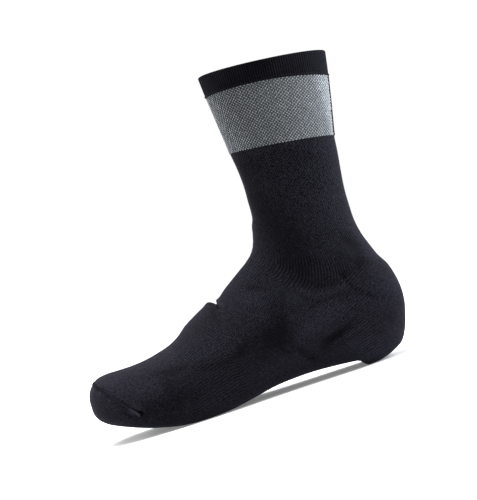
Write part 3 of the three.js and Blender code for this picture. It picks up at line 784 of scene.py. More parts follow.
class Signal:
    """A number in a material that takes part in Python arithmetic by adding Math nodes."""

    def __init__(self, finish, socket):
        self.finish = finish
        self.socket = socket

    def math(self, operation, *others):
        settings = {"operation": operation}
        values = dict(enumerate((self, *others)))
        return self.finish.signal("ShaderNodeMath", settings, values)

    def __add__(self, other):
        return self.math("ADD", other)

    __radd__ = __add__

    def __mul__(self, other):
        return self.math("MULTIPLY", other)

    __rmul__ = __mul__

    def __sub__(self, other):
        return self.math("SUBTRACT", other)

    def __rsub__(self, other):
        return (self * -1) + other

    def __pow__(self, other):
        return self.math("POWER", other)

    def __abs__(self):
        return self.math("ABSOLUTE")

    def wave(self):
        """A hump from 0 up to 1 and back for each whole number."""
        return abs((self * math.pi).math("SINE"))

    def held(self):
        """The number held between 0 and 1."""
        return self.math("MAXIMUM", 0.0).math("MINIMUM", 1.0)

    def step(self, low, high):
        """A soft step from 0 at low to 1 at high."""
        settings = {"interpolation_type": "SMOOTHSTEP"}
        return self.finish.signal("ShaderNodeMapRange", settings, {0: self, 1: low, 2: high, 3: 0.0, 4: 1.0})


class Finish:
    """A material in the making."""

    def __init__(self, name, **surface):
        self.material = bpy.data.materials.new(name)
        self.material.use_nodes = True
        self.tree = self.material.node_tree
        self.shader = self.tree.nodes["Principled BSDF"]
        self.fill(self.shader, surface)

    def fill(self, node, sockets):
        for key, value in sockets.items():
            if isinstance(value, Signal):
                value = value.socket
            if isinstance(value, bpy.types.NodeSocket):
                self.tree.links.new(value, node.inputs[key])
            else:
                node.inputs[key].default_value = value

    def node(self, kind, settings=None, sockets=None):
        """A node with its settings, and the values or links of its sockets."""
        node = self.tree.nodes.new(kind)
        for key, value in (settings or {}).items():
            setattr(node, key, value)
        self.fill(node, sockets or {})
        return node

    def signal(self, kind, settings=None, sockets=None, output=0):
        return Signal(self, self.node(kind, settings, sockets).outputs[output])

    def attribute(self, name):
        return self.signal("ShaderNodeAttribute", {"attribute_name": name}, output="Fac")

    def parts(self, vector):
        """The three numbers of a vector."""
        split = self.node("ShaderNodeSeparateXYZ", sockets={0: vector})
        return [Signal(self, output) for output in split.outputs]

    def knit(self):
        """Wale and course numbers from the piece's own map."""
        return self.parts(self.node("ShaderNodeUVMap", {"uv_map": "knit"}).outputs[0])[:2]

    def object_place(self):
        return self.node("ShaderNodeTexCoord").outputs["Object"]

    def place(self):
        """The three coordinates of the point on the overshoe."""
        return self.parts(self.object_place())

    def noise(self, scale, detail=2.0):
        sockets = {"Vector": self.object_place(), "Scale": scale, "Detail": detail}
        return self.signal("ShaderNodeTexNoise", sockets=sockets)

    def mix(self, share, first, second):
        """A colour between two others."""
        sockets = {0: share, 6: first, 7: second}
        return self.node("ShaderNodeMix", {"data_type": "RGBA"}, sockets).outputs[2]

    def bump(self, height, distance, strength):
        return self.node("ShaderNodeBump", sockets={
            "Height": height, "Distance": distance, "Strength": strength}).outputs[0]

    def shade(self, **sockets):
        self.fill(self.shader, {key.replace("_", " "): value for key, value in sockets.items()})
        return self.material


def rgba(colour):
    return (*colour, 1.0)


def yarn_surface(colours, sheen, gloss):
    """Shader values that every yarn shares."""
    return {
        "Sheen Weight": sheen,
        "Sheen Roughness": SHEEN_ROUGHNESS,
        "Sheen Tint": rgba(colours.sheen),
        "Specular IOR Level": gloss,
    }


def jersey_height(wales, courses):
    """Height of a plain knit: a ridge to each wale, split down its middle and notched at each stitch."""
    ridge = wales.wave() ** WALE_ROUND
    across = abs(wales.math("FRACT") - 0.5)
    split = across.step(0.0, 0.16) * 0.25 + 0.75
    notch = (courses + across).wave() * 0.25 + 0.75
    return ridge * split * notch


def fan_height(finish, sizes):
    """Height of the wales at the foot's sides, where they spread like a fan."""
    x, _, z = finish.place()
    rise = z - FAN_CENTRE[1] * sizes.foot_length
    run = x - (TOE_X + FAN_CENTRE[0] * sizes.foot_length)
    return (rise.math("ARCTAN2", run) * FAN_WALES).wave() ** WALE_ROUND


def seam_lines(finish, sizes):
    """Thin dark lines on both sides of the toe seam."""
    x, y, z = finish.place()
    bow = (y - side_y(sizes)) * (SEAM_SPREAD / sizes.ball_width)
    reach = (x - (TOE_X + sizes.seam_foot)) * math.sin(sizes.seam_slope) + z * math.cos(sizes.seam_slope)
    reach = reach - bow * bow * sizes.seam_bow
    line = 1 - abs(abs(reach) - LINE_AT).step(*LINE_EDGE)
    line = line * (reach.step(-1 * MM, 1 * MM) * 0.5 + 0.5) * (finish.noise(LINE_BREAKS) * 1.6 + 0.1)
    line = line * (1 - z.step(*LINE_FADE) * 0.5)
    return line * z.step(SEAM_BOX[0][2], SEAM_BOX[0][2] + 3 * MM)


def lattice_height(sizes, wales, courses):
    """Height of the close pattern: rounded stitches, each row set half a stitch beside the last."""
    columns = wales * (math.tau * sizes.lattice_columns / sizes.wales)
    rows = courses * (math.pi * sizes.course / sizes.lattice_row)
    return columns.math("COSINE") * rows.math("COSINE") * 0.5 + 0.5


def black_knit_finish(colours):
    """Black elastic knit: wales at the sides, fine at the toe and heel, close dots below the band, with
    painted highlights on its crowns and folds and painted shade in its grooves and hollows.
    """
    finish = Finish("black knit", **yarn_surface(colours, 0.03, 0.03))
    sizes = bpy.context.scene.overshoe_sizes
    wales, courses = finish.knit()
    rib = finish.attribute("rib")
    fan = finish.attribute("fan")
    lattice = finish.attribute("lattice")
    painted_light_and_shade = finish.attribute("painted_light_and_shade")
    fine = jersey_height(wales * 2, courses * 2)
    smooth = (1 - rib - fan - lattice).held()
    height = (fine * 0.5 + 0.25) * smooth + jersey_height(wales, courses) * rib
    height = height + (fan_height(finish, sizes) * 0.72 + 0.14) * fan
    height = height + lattice_height(sizes, wales, courses) * lattice
    cloud = finish.noise(CLOUD)
    fibre = finish.noise(FIBRE, 0.0)
    _, _, z = finish.place()
    speckle = z.step(0.1 * sizes.foot_length, 0.2 * sizes.foot_length) * 2.0 + 2.3
    speckle = speckle * (1 - (rib + fan).held() * 0.3) * (1 + painted_light_and_shade * 0.9)
    # Colour: lighter crowns and darker grooves of the stitches, partly painted highlight and painted shade,
    # with random cloud and fibre, and the painted light and shade of the folds.
    yarn_and_painted_light = (height - 0.5) * 1.15 + (cloud - 0.5) * 0.3 + (fibre - 0.5) * speckle + painted_light_and_shade * 0.6
    yarn_and_painted_light = yarn_and_painted_light - seam_lines(finish, sizes) * 0.4
    colour = finish.mix((yarn_and_painted_light + 0.22).held(), rgba(colours.knit), rgba(colours.knit_light))
    relief = height * ((rib + fan) * 0.7 + 0.3) + fibre * 0.35
    return finish.shade(
        Base_Color=colour, Roughness=fibre * 0.1 + 0.82, Normal=finish.bump(relief, 0.5 * MM, 0.8))


def sole_finish(colours):
    """Dense plain knit under the foot, with painted highlights on its crowns and the painted light and shade
    of the folds.
    """
    finish = Finish("sole", **yarn_surface(colours, 0.03, 0.03))
    wales, courses = finish.knit()
    painted_light_and_shade = finish.attribute("painted_light_and_shade")
    height = jersey_height(wales * 2, courses * 2)
    fibre = finish.noise(FIBRE, 0.0)
    cloud = finish.noise(CLOUD)
    # Lighter crowns, partly painted highlight, with random cloud and fibre and the painted light and shade of
    # the folds.
    yarn_and_painted_light = (height - 0.5) * 0.4 + (cloud - 0.5) * 0.3 + (fibre - 0.5) * 1.4 + painted_light_and_shade * 0.6
    colour = finish.mix((yarn_and_painted_light + 0.28).held(), rgba(colours.knit), rgba(colours.knit_light))
    relief = height * 0.5 + fibre * 0.35
    return finish.shade(
        Base_Color=colour, Roughness=fibre * 0.1 + 0.84, Normal=finish.bump(relief, 0.4 * MM, 0.8))


def cuff_finish(colours):
    """Black elastic rib with fine courses across it, its ribs' crowns partly painted lighter and its middle
    in painted shade.
    """
    finish = Finish("cuff", **yarn_surface(colours, 0.02, 0.02))
    ribs, courses = finish.knit()
    painted_light_and_shade = finish.attribute("painted_light_and_shade")
    fibre = finish.noise(SOFT_FIBRE, 3.0)
    cloud = finish.noise(CUFF_CLOUD)
    rows = courses.wave() ** COURSE_ROUND
    # Lighter rib crowns and courses, partly painted highlight, with random cloud and fibre and the cuff's
    # painted light and shade.
    share = ribs.wave() * 0.4 + rows * 0.12 + (cloud - 0.5) * 0.3 + (fibre - 0.5) * 0.6 + painted_light_and_shade * 0.4 - 0.14
    colour = finish.mix(share.held(), rgba(colours.cuff), rgba(colours.knit_light))
    relief = finish.bump(rows + fibre * 0.4, 0.25 * MM, 0.7)
    return finish.shade(Base_Color=colour, Roughness=fibre * 0.1 + 0.82, Normal=relief)


def band_ground_finish(colours):
    """Dark knit under the reflective stitches, with painted highlights on its crowns and painted light
    towards the back.
    """
    finish = Finish("band ground", **yarn_surface(colours, 0.02, 0.02))
    wales, courses = finish.knit()
    height = jersey_height(wales, courses)
    fibre = finish.noise(SOFT_FIBRE, 3.0)
    # Painted light, growing towards the back.
    back = finish.place()[0].step(BAND_BOX[0][0], BAND_BOX[1][0])
    share = height * 0.3 + (fibre - 0.5) * 0.4 + back * 0.3 - 0.12
    colour = finish.mix(share.held(), rgba(colours.ground), rgba(colours.grey))
    return finish.shade(Base_Color=colour, Roughness=0.85, Normal=finish.bump(height, 0.4 * MM, 0.8))


def reflective_yarn_finish(colours):
    """Light grey yarn with tiny glass beads, patchy from stitch to stitch, and painted lighter towards the
    back, at the front and at the back edge.
    """
    finish = Finish("reflective yarn", **yarn_surface(colours, 0.04, 0.35))
    patch = finish.noise(PATCH, 3.0)
    bead = finish.noise(BEAD)
    x, _, z = finish.place()
    # Painted light: lighter towards the back, at the front and most at the back edge.
    back = x.step(BAND_BOX[0][0], BAND_BOX[1][0])
    front = 1 - (x - BAND_BOX[0][0] + (z - BAND_BOX[1][2]) * FRONT_LEAN).step(0.0, FRONT_WIDTH)
    edge = x.step(BAND_BOX[1][0] - 16 * MM, BAND_BOX[1][0] - 4 * MM)
    share = (patch * 1.1 + back * 0.46 + front * 0.26 + edge * 1.1 - 0.62).held()
    dull = tuple(YARN_DARK * part for part in colours.grey)
    bright = tuple(min(YARN_LIGHT * part, 1.0) for part in colours.grey)
    colour = finish.mix(share, rgba(dull), rgba(bright))
    return finish.shade(
        Base_Color=colour, Roughness=bead * 0.3 + 0.35, Normal=finish.bump(bead, 0.08 * MM, 0.6))


def seam_finish(colours):
    """Black linking thread, twisted, painted lighter than the knit as a highlight, most at its low end."""
    finish = Finish("seam", **yarn_surface(colours, 0.03, 0.03))
    fibre = finish.noise(TWIST, 3.0)
    _, _, z = finish.place()
    # Painted highlight on the thread, strongest near the seam's low end.
    end = 1 - z.step(SEAM_BOX[0][2] + 4 * MM, SEAM_BOX[0][2] + 12 * MM)
    crown = tuple(THREAD_HIGHLIGHT * part for part in colours.knit_light)
    colour = finish.mix((fibre * 0.6 + end * 0.55 - 0.12).held(), rgba(colours.knit), rgba(crown))
    return finish.shade(Base_Color=colour, Roughness=0.75, Normal=finish.bump(fibre, 0.15 * MM, 0.8))


def floor_finish(colours):
    """Pale floor, its own glow weaker near the overshoe."""
    finish = Finish("floor paint", **{
        "Base Color": rgba(colours.floor), "Roughness": 0.9, "Specular IOR Level": 0.1})
    x, y, _ = finish.place()
    far = ((x * x + y * y) ** 0.5).step(*GLOW_REACH)
    glow = finish.mix(far, (GLOW_NEAR, GLOW_NEAR, GLOW_NEAR, 1), (1, 1, 1, 1))
    return finish.shade(Emission_Color=glow, Emission_Strength=FLOOR_GLOW)


def finish_of(make, colours):
    """A finish that several pieces share, made once."""
    name = make.__name__.removesuffix("_finish").replace("_", " ")
    return bpy.data.materials.get(name) or make(colours)


def link(name, mesh, slot, *replaced):
    """Adds a finished mesh as a piece that rides on the overshoe's body."""
    piece = bpy.data.objects.new(name, mesh)
    bpy.context.scene.collection.objects.link(piece)
    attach(piece, BODY)
    if replaced:
        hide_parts(*replaced)
    return piece


def mesh_of(name, table, faces, corners, material):
    """A smooth mesh with its knit coordinates and zones."""
    mesh = bpy.data.meshes.new(name)
    mesh.from_pydata(table[:, PLACE].tolist(), [], faces.tolist())
    mesh.uv_layers.new(name="knit")
    mesh.uv_layers["knit"].data.foreach_set("uv", corners.astype(np.float32).reshape(-1))
    for k, zone in enumerate(ZONES):
        values = mesh.attributes.new(zone, "FLOAT", "POINT")
        values.data.foreach_set("value", table[:, ZONE_START + k].astype(np.float32))
    mesh.shade_smooth()
    mesh.materials.append(material)
    return mesh


def walled(name, cloth, wall, material):
    """A mesh of a cloth with a thickness inwards, its two skins joined round every edge."""
    table, faces, corners = cloth.merged()
    count = len(table)
    inner = table.copy()
    inner[:, PLACE] = table[:, PLACE] - wall * table[:, NORMAL]
    inner[:, 2] = np.maximum(inner[:, 2], 0.5 * wall)
    edges = np.concatenate([faces[:, [0, 1]], faces[:, [1, 2]], faces[:, [2, 0]]])
    ids = np.tile(np.arange(len(faces)), 3)
    slots = np.repeat(np.arange(3), len(faces))
    ordered = np.sort(edges, axis=1)
    _, first, uses = np.unique(ordered, axis=0, return_index=True, return_counts=True)
    rim = first[uses == 1]
    a, b = edges[rim].T
    rim_faces = np.concatenate([np.stack([b, a, a + count], 1), np.stack([b, a + count, b + count], 1)])
    corner_rows = corners.reshape(-1, 3, 2)
    at_a = corner_rows[ids[rim], slots[rim]]
    at_b = corner_rows[ids[rim], (slots[rim] + 1) % 3]
    rim_corners = np.concatenate([np.stack([at_b, at_a, at_a], 1), np.stack([at_b, at_a, at_b], 1)])
    all_faces = np.concatenate([faces, faces[:, ::-1] + count, rim_faces])
    all_corners = np.concatenate([corner_rows, corner_rows[:, ::-1], rim_corners])
    mesh = mesh_of(name, np.concatenate([table, inner]), all_faces, all_corners, material)
    sharp = {tuple(edge) for edge in ordered[rim].tolist()}
    sharp |= {(low + count, high + count) for low, high in sharp}
    pairs = np.empty(len(mesh.edges) * 2, dtype=np.int32)
    mesh.edges.foreach_get("vertices", pairs)
    pairs = np.sort(pairs.reshape(-1, 2), axis=1).tolist()
    flags = mesh.attributes.new("sharp_edge", "BOOLEAN", "EDGE")
    flags.data.foreach_set("value", [tuple(pair) in sharp for pair in pairs])
    return mesh


class OVERSHOE_OT_knit(bpy.types.Operator):
    """Make the knit of the foot, sole and toe"""

    bl_idname = "overshoe.knit"
    bl_label = "Knitted foot"

    def execute(self, context):
        sizes = context.scene.overshoe_sizes
        colours = context.scene.overshoe_colours
        at, points, painted_light_and_shade = foot_grid(sizes)
        normals = grid_normals(points)
        points[..., 2] = np.maximum(points[..., 2], 0)
        zone_values = zones(sizes, points, normals, painted_light_and_shade)
        cloth = cloth_of(points, normals, knit_places(sizes, at), zone_values)
        seam = seam_reach(sizes, cloth.table[:, PLACE])
        toe = cloth.above(-seam - JOIN)
        rest = cloth.above(seam - JOIN)
        rise = rest.table[:, 2] - sole_line_height(sizes, rest.table[:, 0] - TOE_X)
        upper = rest.above(rise - JOIN)
        sole = rest.above(-rise - JOIN)
        black = finish_of(black_knit_finish, colours)
        dense = finish_of(sole_finish, colours)
        wall = sizes.knit_wall
        link("upper_knit", walled("upper_knit", upper, wall, black), "black_knit", "upper")
        link("sole_knit", walled("sole_knit", sole, SOLE_WALL * wall, dense), "sole_knit", "sole")
        link("toe_knit", walled("toe_knit", toe, wall, black), "black_knit", "toe_pocket")
        return {"FINISHED"}


def band_grid(sizes):
    """The ground of the reflective band, all the way round."""
    surface = whole_surface(sizes)
    band_low, cuff_low = shaft_shares(sizes)
    low, high = surface.at_shaft(band_low) + JOIN, surface.at_shaft(cuff_low)
    at = np.linspace(low, high, BAND_ROWS)
    points = surface.rows(at)
    points[..., 2] += cuff_lift(sizes, points) * np.linspace(0, 1, len(at))[:, None]
    return at, points, grid_normals(points)


def cuff_lift(sizes, points):
    """How far the cuff's lower edge is drawn up at the sides, and down behind."""
    axis = (CUFF_BOX[0][0] + CUFF_BOX[1][0]) / 2
    side = (2 * (points[..., 1] - side_y(sizes)) / sizes.collar_width) ** 2
    behind = smoothstep(points[..., 0], axis, CUFF_BOX[1][0])
    return sizes.cuff_bow * (side - 0.7 * behind)


class OVERSHOE_OT_band(bpy.types.Operator):
    """Make the ground of the reflective band and the plain strip behind it"""

    bl_idname = "overshoe.band"
    bl_label = "Band ground and back strip"

    def execute(self, context):
        sizes = context.scene.overshoe_sizes
        colours = context.scene.overshoe_colours
        at, points, normals = band_grid(sizes)
        zone_values = np.zeros((*points.shape[:2], len(ZONES)))
        zone_values[..., ZONES.index("lattice")] = 1
        cloth = cloth_of(points, normals, knit_places(sizes, at), zone_values)
        behind = strip_field(cloth.table[:, PLACE])
        strip = cloth.above(behind - JOIN)
        strip.table[:, PLACE] += sizes.strip_rise * strip.table[:, NORMAL]
        band = cloth.above(-behind - JOIN)
        ground = finish_of(band_ground_finish, colours)
        black = finish_of(black_knit_finish, colours)
        wall = sizes.knit_wall
        link("band_ground", walled("band_ground", band, wall, ground), "reflective_knit", "reflective_band")
        strip_mesh = walled("strip_knit", strip, wall + sizes.strip_rise, black)
        link("strip_knit", strip_mesh, "black_knit", "back_strip")
        return {"FINISHED"}


def strip_field(points):
    """Above zero on the plain strip at the back, where it is as wide as the frame's."""
    half = (STRIP_BOX[1][1] - STRIP_BOX[0][1]) / 2
    middle = (STRIP_BOX[1][1] + STRIP_BOX[0][1]) / 2
    axis = (BAND_BOX[0][0] + BAND_BOX[1][0]) / 2
    return np.minimum(half - np.abs(points[:, 1] - middle), points[:, 0] - axis)


def cuff_profile(sizes):
    """The cuff's section: rise from its lower edge, distance out from the shaft, and the ribs' share."""
    height = sizes.cuff_height
    roll = 0.9 * MM
    wall = 2.2 * MM
    proud = 0.5 * MM
    fold = wall / 2
    turn = np.linspace(-0.5, 0.5, 9) * math.pi
    lower = np.stack([roll + roll * np.sin(turn), proud + 0.8 * roll * np.cos(turn)], 1)
    outer_wall = np.stack([np.linspace(2.6 * roll, height - fold, 16), np.full(16, proud)], 1)
    crest = np.linspace(0, 1, 11)[1:-1] * math.pi
    over = np.stack([height - fold + fold * np.sin(crest), proud - fold + fold * np.cos(crest)], 1)
    inner_wall = np.stack([np.linspace(height - fold, 0, 14), np.full(14, proud - wall)], 1)
    profile = np.concatenate([lower, outer_wall, over, inner_wall])
    ribs = np.concatenate([np.linspace(0.2, 0.5, 9), np.full(16, 1.0), np.full(9, 0.7), np.full(14, 0.8)])
    return profile, ribs


class OVERSHOE_OT_cuff(bpy.types.Operator):
    """Make the turned cuff with its ribs and rolled lower edge"""

    bl_idname = "overshoe.cuff"
    bl_label = "Ribbed cuff"

    def execute(self, context):
        sizes = context.scene.overshoe_sizes
        colours = context.scene.overshoe_colours
        points_per_rib = 6
        count = sizes.cuff_ribs * points_per_rib
        sections = [shaft_section(sizes, row) for row in SHAFT_ROWS]
        surface = Surface(sizes, sections, count, closed_toe=False)
        _, cuff_low = shaft_shares(sizes)
        profile, ribs = cuff_profile(sizes)
        at = surface.at_shaft(cuff_low + profile[:, 0] / shaft_height(sizes))
        normal_rows = shaft_normals(surface, at)
        phase = np.arange(count + 1) / points_per_rib
        crown = np.abs(np.sin(math.pi * phase)) ** 0.8
        out = profile[:, 1:] + 0.32 * MM * ribs[:, None] * (crown - 0.6)
        points = surface.rows(at) + normal_rows * out[..., None]
        points[..., 2] += cuff_lift(sizes, points) * (1 - profile[:, :1] / sizes.cuff_height)
        points = np.concatenate([points, points[:1]])
        normal_rows = np.concatenate([normal_rows, normal_rows[:1]])
        knit = np.stack(np.meshgrid(phase, walked(points[:, 0]) / (0.8 * sizes.course)), axis=-1)
        zone_values = np.zeros((*points.shape[:2], len(ZONES)))
        x, _ = foot_shares(sizes, points)
        # Painted shade across the middle of the cuff, and painted light towards its back.
        zone_values[..., ZONES.index("painted_light_and_shade")] = 0.2 * smoothstep(x, 0.88, 1) - 0.34 * bell(x - 0.74, 0.1)
        cloth = cloth_of(points, normal_rows, knit, zone_values)
        table, faces, corners = cloth.merged()
        rib = finish_of(cuff_finish, colours)
        link("cuff_rib", mesh_of("cuff_rib", table, faces, corners, rib), "cuff_rib", "cuff")
        return {"FINISHED"}


def shaft_normals(surface, at):
    """Outward normals of the shaft at the given places along it."""
    before = surface.rows(np.clip(np.asarray(at) - NEAR, surface.along[0], surface.along[-1]))
    after = surface.rows(np.clip(np.asarray(at) + NEAR, surface.along[0], surface.along[-1]))
    normal = np.cross(after - before, across_rows(surface.rows(at)))
    return normal / np.linalg.norm(normal, axis=2, keepdims=True)


def stitch_tree():
    """Geometry Nodes that set a rounded stitch on every point, lying on the knit and turned along its row."""
    tree = bpy.data.node_groups.get("rounded stitches")
    if tree:
        return tree
    tree = bpy.data.node_groups.new("rounded stitches", "GeometryNodeTree")
    inputs = {
        "Geometry": "Geometry", "Size": "Vector", "Segments": "Int", "Rings": "Int", "Finish": "Material"}
    for name, kind in inputs.items():
        tree.interface.new_socket(name, in_out="INPUT", socket_type=f"NodeSocket{kind}")
    tree.interface.new_socket("Geometry", in_out="OUTPUT", socket_type="NodeSocketGeometry")
    nodes, links = tree.nodes, tree.links
    given = nodes.new("NodeGroupInput")
    bead = nodes.new("GeometryNodeMeshUVSphere")
    links.new(given.outputs["Segments"], bead.inputs["Segments"])
    links.new(given.outputs["Rings"], bead.inputs["Rings"])
    bead.inputs["Radius"].default_value = 0.5
    shaped = nodes.new("GeometryNodeTransform")
    links.new(bead.outputs["Mesh"], shaped.inputs["Geometry"])
    links.new(given.outputs["Size"], shaped.inputs["Scale"])
    turn = nodes.new("FunctionNodeAxesToRotation")
    turn.primary_axis = "Z"
    turn.secondary_axis = "Y"
    for name, key in (("facing", "Primary Axis"), ("along", "Secondary Axis")):
        read = nodes.new("GeometryNodeInputNamedAttribute")
        read.data_type = "FLOAT_VECTOR"
        read.inputs["Name"].default_value = name
        links.new(read.outputs["Attribute"], turn.inputs[key])
    grade = nodes.new("GeometryNodeInputNamedAttribute")
    grade.data_type = "FLOAT"
    grade.inputs["Name"].default_value = "grade"
    placed = nodes.new("GeometryNodeInstanceOnPoints")
    links.new(given.outputs["Geometry"], placed.inputs["Points"])
    links.new(shaped.outputs["Geometry"], placed.inputs["Instance"])
    links.new(turn.outputs["Rotation"], placed.inputs["Rotation"])
    links.new(grade.outputs["Attribute"], placed.inputs["Scale"])
    solid = nodes.new("GeometryNodeRealizeInstances")
    links.new(placed.outputs["Instances"], solid.inputs["Geometry"])
    smooth = nodes.new("GeometryNodeSetShadeSmooth")
    links.new(solid.outputs["Geometry"], smooth.inputs["Geometry"])
    dressed = nodes.new("GeometryNodeSetMaterial")
    links.new(smooth.outputs["Geometry"], dressed.inputs["Geometry"])
    links.new(given.outputs["Finish"], dressed.inputs["Material"])
    result = nodes.new("NodeGroupOutput")
    links.new(dressed.outputs["Geometry"], result.inputs["Geometry"])
    return tree


def stitched(name, places, facings, alongs, grades, size, material, slot, *replaced, segments=6, rings=4):
    """A piece made of rounded stitches, each lying on the knit at its place and turned along its row."""
    mesh = bpy.data.meshes.new(name)
    mesh.from_pydata(places.tolist(), [], [])
    for key, values in (("facing", facings), ("along", alongs)):
        layer = mesh.attributes.new(key, "FLOAT_VECTOR", "POINT")
        layer.data.foreach_set("vector", values.astype(np.float32).reshape(-1))
    layer = mesh.attributes.new("grade", "FLOAT", "POINT")
    layer.data.foreach_set("value", grades.astype(np.float32))
    carrier = bpy.data.objects.new(name, mesh)
    bpy.context.scene.collection.objects.link(carrier)
    modifier = carrier.modifiers.new("stitches", "NODES")
    modifier.node_group = stitch_tree()
    values = {"Size": size, "Segments": segments, "Rings": rings, "Finish": material}
    for item in modifier.node_group.interface.items_tree:
        if item.in_out == "INPUT" and item.name in values:
            modifier[item.identifier] = values[item.name]
    graph = bpy.context.evaluated_depsgraph_get()
    baked = bpy.data.meshes.new_from_object(carrier.evaluated_get(graph))
    bpy.data.objects.remove(carrier)
    bpy.data.meshes.remove(mesh)
    if not baked.polygons:
        raise RuntimeError(f"{name} has no stitches")
    baked.name = name
    return link(name, baked, slot, *replaced)


def ring_samples(surface, row_at, shares):
    """Places, normals and upward directions at shares of the way round, one row for each place along."""
    rows = surface.rows(row_at)
    normals = shaft_normals(surface, row_at)
    ups = surface.rows(np.asarray(row_at) + NEAR) - surface.rows(np.asarray(row_at) - NEAR)
    count = rows.shape[1] - 1
    result = []
    for values in (rows, normals, ups):
        picked = np.stack([
            np.stack([np.interp(share * count, np.arange(count + 1), row[:, axis]) for axis in range(3)], 1)
            for row, share in zip(values, shares)])
        result.append(picked)
    places, normals, ups = result
    normals /= np.linalg.norm(normals, axis=2, keepdims=True)
    ups /= np.linalg.norm(ups, axis=2, keepdims=True)
    return places, normals, ups


class OVERSHOE_OT_stitches(bpy.types.Operator):
    """Make the reflective stitches of the band"""

    bl_idname = "overshoe.stitches"
    bl_label = "Reflective stitches"

    def execute(self, context):
        sizes = context.scene.overshoe_sizes
        colours = context.scene.overshoe_colours
        surface = whole_surface(sizes)
        per_row = sizes.lattice_columns
        band_low, cuff_low = shaft_shares(sizes)
        low, high = surface.at_shaft(band_low), surface.at_shaft(cuff_low)
        margin = 0.6 * MM
        row_count = int((high - low - 2 * margin) / sizes.lattice_row)
        row_at = np.linspace(low + margin, high - margin, row_count)
        shares = [((np.arange(per_row) + 0.5 * (row % 2)) / per_row) % 1 for row in range(row_count)]
        places, facings, alongs = ring_samples(surface, row_at, shares)
        places[..., 2] += cuff_lift(sizes, places) * np.linspace(0, 1, row_count)[:, None]
        places, facings, alongs = (values.reshape(-1, 3) for values in (places, facings, alongs))
        shown = strip_field(places) < -0.5 * MM
        places, facings, alongs = places[shown], facings[shown], alongs[shown]
        random = np.random.default_rng(7)
        behind = smoothstep(places[:, 0], BAND_BOX[0][0], BAND_BOX[1][0])
        grades = random.uniform(0.86, 1.1, len(places)) + 0.1 * behind
        places = places + facings * (0.12 * MM)
        places = places + random.normal(0, 0.05 * MM, places.shape)
        yarn = finish_of(reflective_yarn_finish, colours)
        stitched("band_stitches", places, facings, alongs, grades, STITCH_SIZE, yarn, "reflective_knit")
        return {"FINISHED"}


def seam_path(sizes):
    """The toe seam on the shaped knit, from end to end over the toe: places, facings and directions."""
    _, points, _ = foot_grid(sizes)
    normals = grid_normals(points)
    reach = seam_reach(sizes, points)
    places, facings = [], []
    for k in range(points.shape[1] - 1):
        row = np.argmax(reach[:, k] > 0)
        share = reach[row - 1, k] / (reach[row - 1, k] - reach[row, k])
        places.append(points[row - 1, k] * (1 - share) + points[row, k] * share)
        facings.append(normals[row - 1, k] * (1 - share) + normals[row, k] * share)
    half = len(places) // 2
    places, facings = np.roll(places, half, axis=0), np.roll(facings, half, axis=0)
    over = places[:, 2] > SEAM_BOX[0][2]
    places, facings = places[over], facings[over]
    directions = np.gradient(places, axis=0)
    directions /= np.linalg.norm(directions, axis=1, keepdims=True)
    facings /= np.linalg.norm(facings, axis=1, keepdims=True)
    return places, facings, directions


def evened(pitch, path, *others):
    """Places along a path at an even pitch, and the other values there."""
    length = walked(path)
    want = np.arange(pitch / 2, length[-1], pitch)
    return [resampled(want, length, values) for values in (path, *others)]


class OVERSHOE_OT_seams(bpy.types.Operator):
    """Make the linked toe seam and the dashes of the heel's gore"""

    bl_idname = "overshoe.seams"
    bl_label = "Toe seam and heel gore"

    def execute(self, context):
        sizes = context.scene.overshoe_sizes
        colours = context.scene.overshoe_colours
        thread = finish_of(seam_finish, colours)
        path, facing, direction = seam_path(sizes)
        places, facings, directions = evened(LINK_PITCH, path, facing, direction)
        across = np.cross(facings, directions)
        rows, faces, turns = [], [], []
        for offset, lean in ((-LINK_OFFSET, 0.5), (LINK_OFFSET, -0.5)):
            rows.append(places + across * offset + facings * 0.1 * MM)
            faces.append(facings)
            turns.append(across + lean * directions)
        places, facings, alongs = (np.concatenate(values) for values in (rows, faces, turns))
        grades = np.random.default_rng(3).uniform(0.9, 1.1, len(places))
        stitched("toe_seam_links", places, facings, alongs, grades, LINK_SIZE, thread,
                 "seam_thread", "toe_seam", segments=8, rings=6)
        self.gore(sizes, thread)
        return {"FINISHED"}

    def gore(self, sizes, thread):
        """Short dashes across the line where the heel's rows turn."""
        _, points, _ = foot_grid(sizes)
        flat = points.reshape(-1, 3)
        outward = grid_normals(points).reshape(-1, 3)
        line, = evened(DASH_PITCH, np.array(GORE_ROUTE) * sizes.foot_length)
        line += [TOE_X, 0]
        places, facings, alongs = [], [], []
        for side in (-1, 1):
            facing_side = side * outward[:, 1] > 0.3
            near = flat[facing_side]
            near_normals = outward[facing_side]
            for k, (x, z) in enumerate(line):
                pick = np.argmin((near[:, 0] - x) ** 2 + (near[:, 2] - z) ** 2)
                normal = near_normals[pick]
                places.append(near[pick])
                facings.append(normal)
                ahead = min(k + 1, len(line) - 1)
                run = np.insert(line[ahead] - line[ahead - 1], 1, 0)
                alongs.append(np.cross(normal, run / np.linalg.norm(run)))
        grades = np.random.default_rng(5).uniform(0.8, 1.15, len(places))
        values = (np.array(part) for part in (places, facings, alongs))
        stitched("gore_dashes", *values, grades, DASH_SIZE, thread, "seam_thread", segments=8, rings=6)


def soft_light(name, place, aim, size, power, colour):
    """A large soft light that faces its aim."""
    light = bpy.data.lights.new(name, "AREA")
    light.shape = "RECTANGLE"
    light.size, light.size_y = size
    light.energy = power
    light.color = colour
    lamp = bpy.data.objects.new(name, light)
    bpy.context.scene.collection.objects.link(lamp)
    lamp.location = place
    lamp.rotation_euler = (Vector(place) - Vector(aim)).to_track_quat("Z", "Y").to_euler()


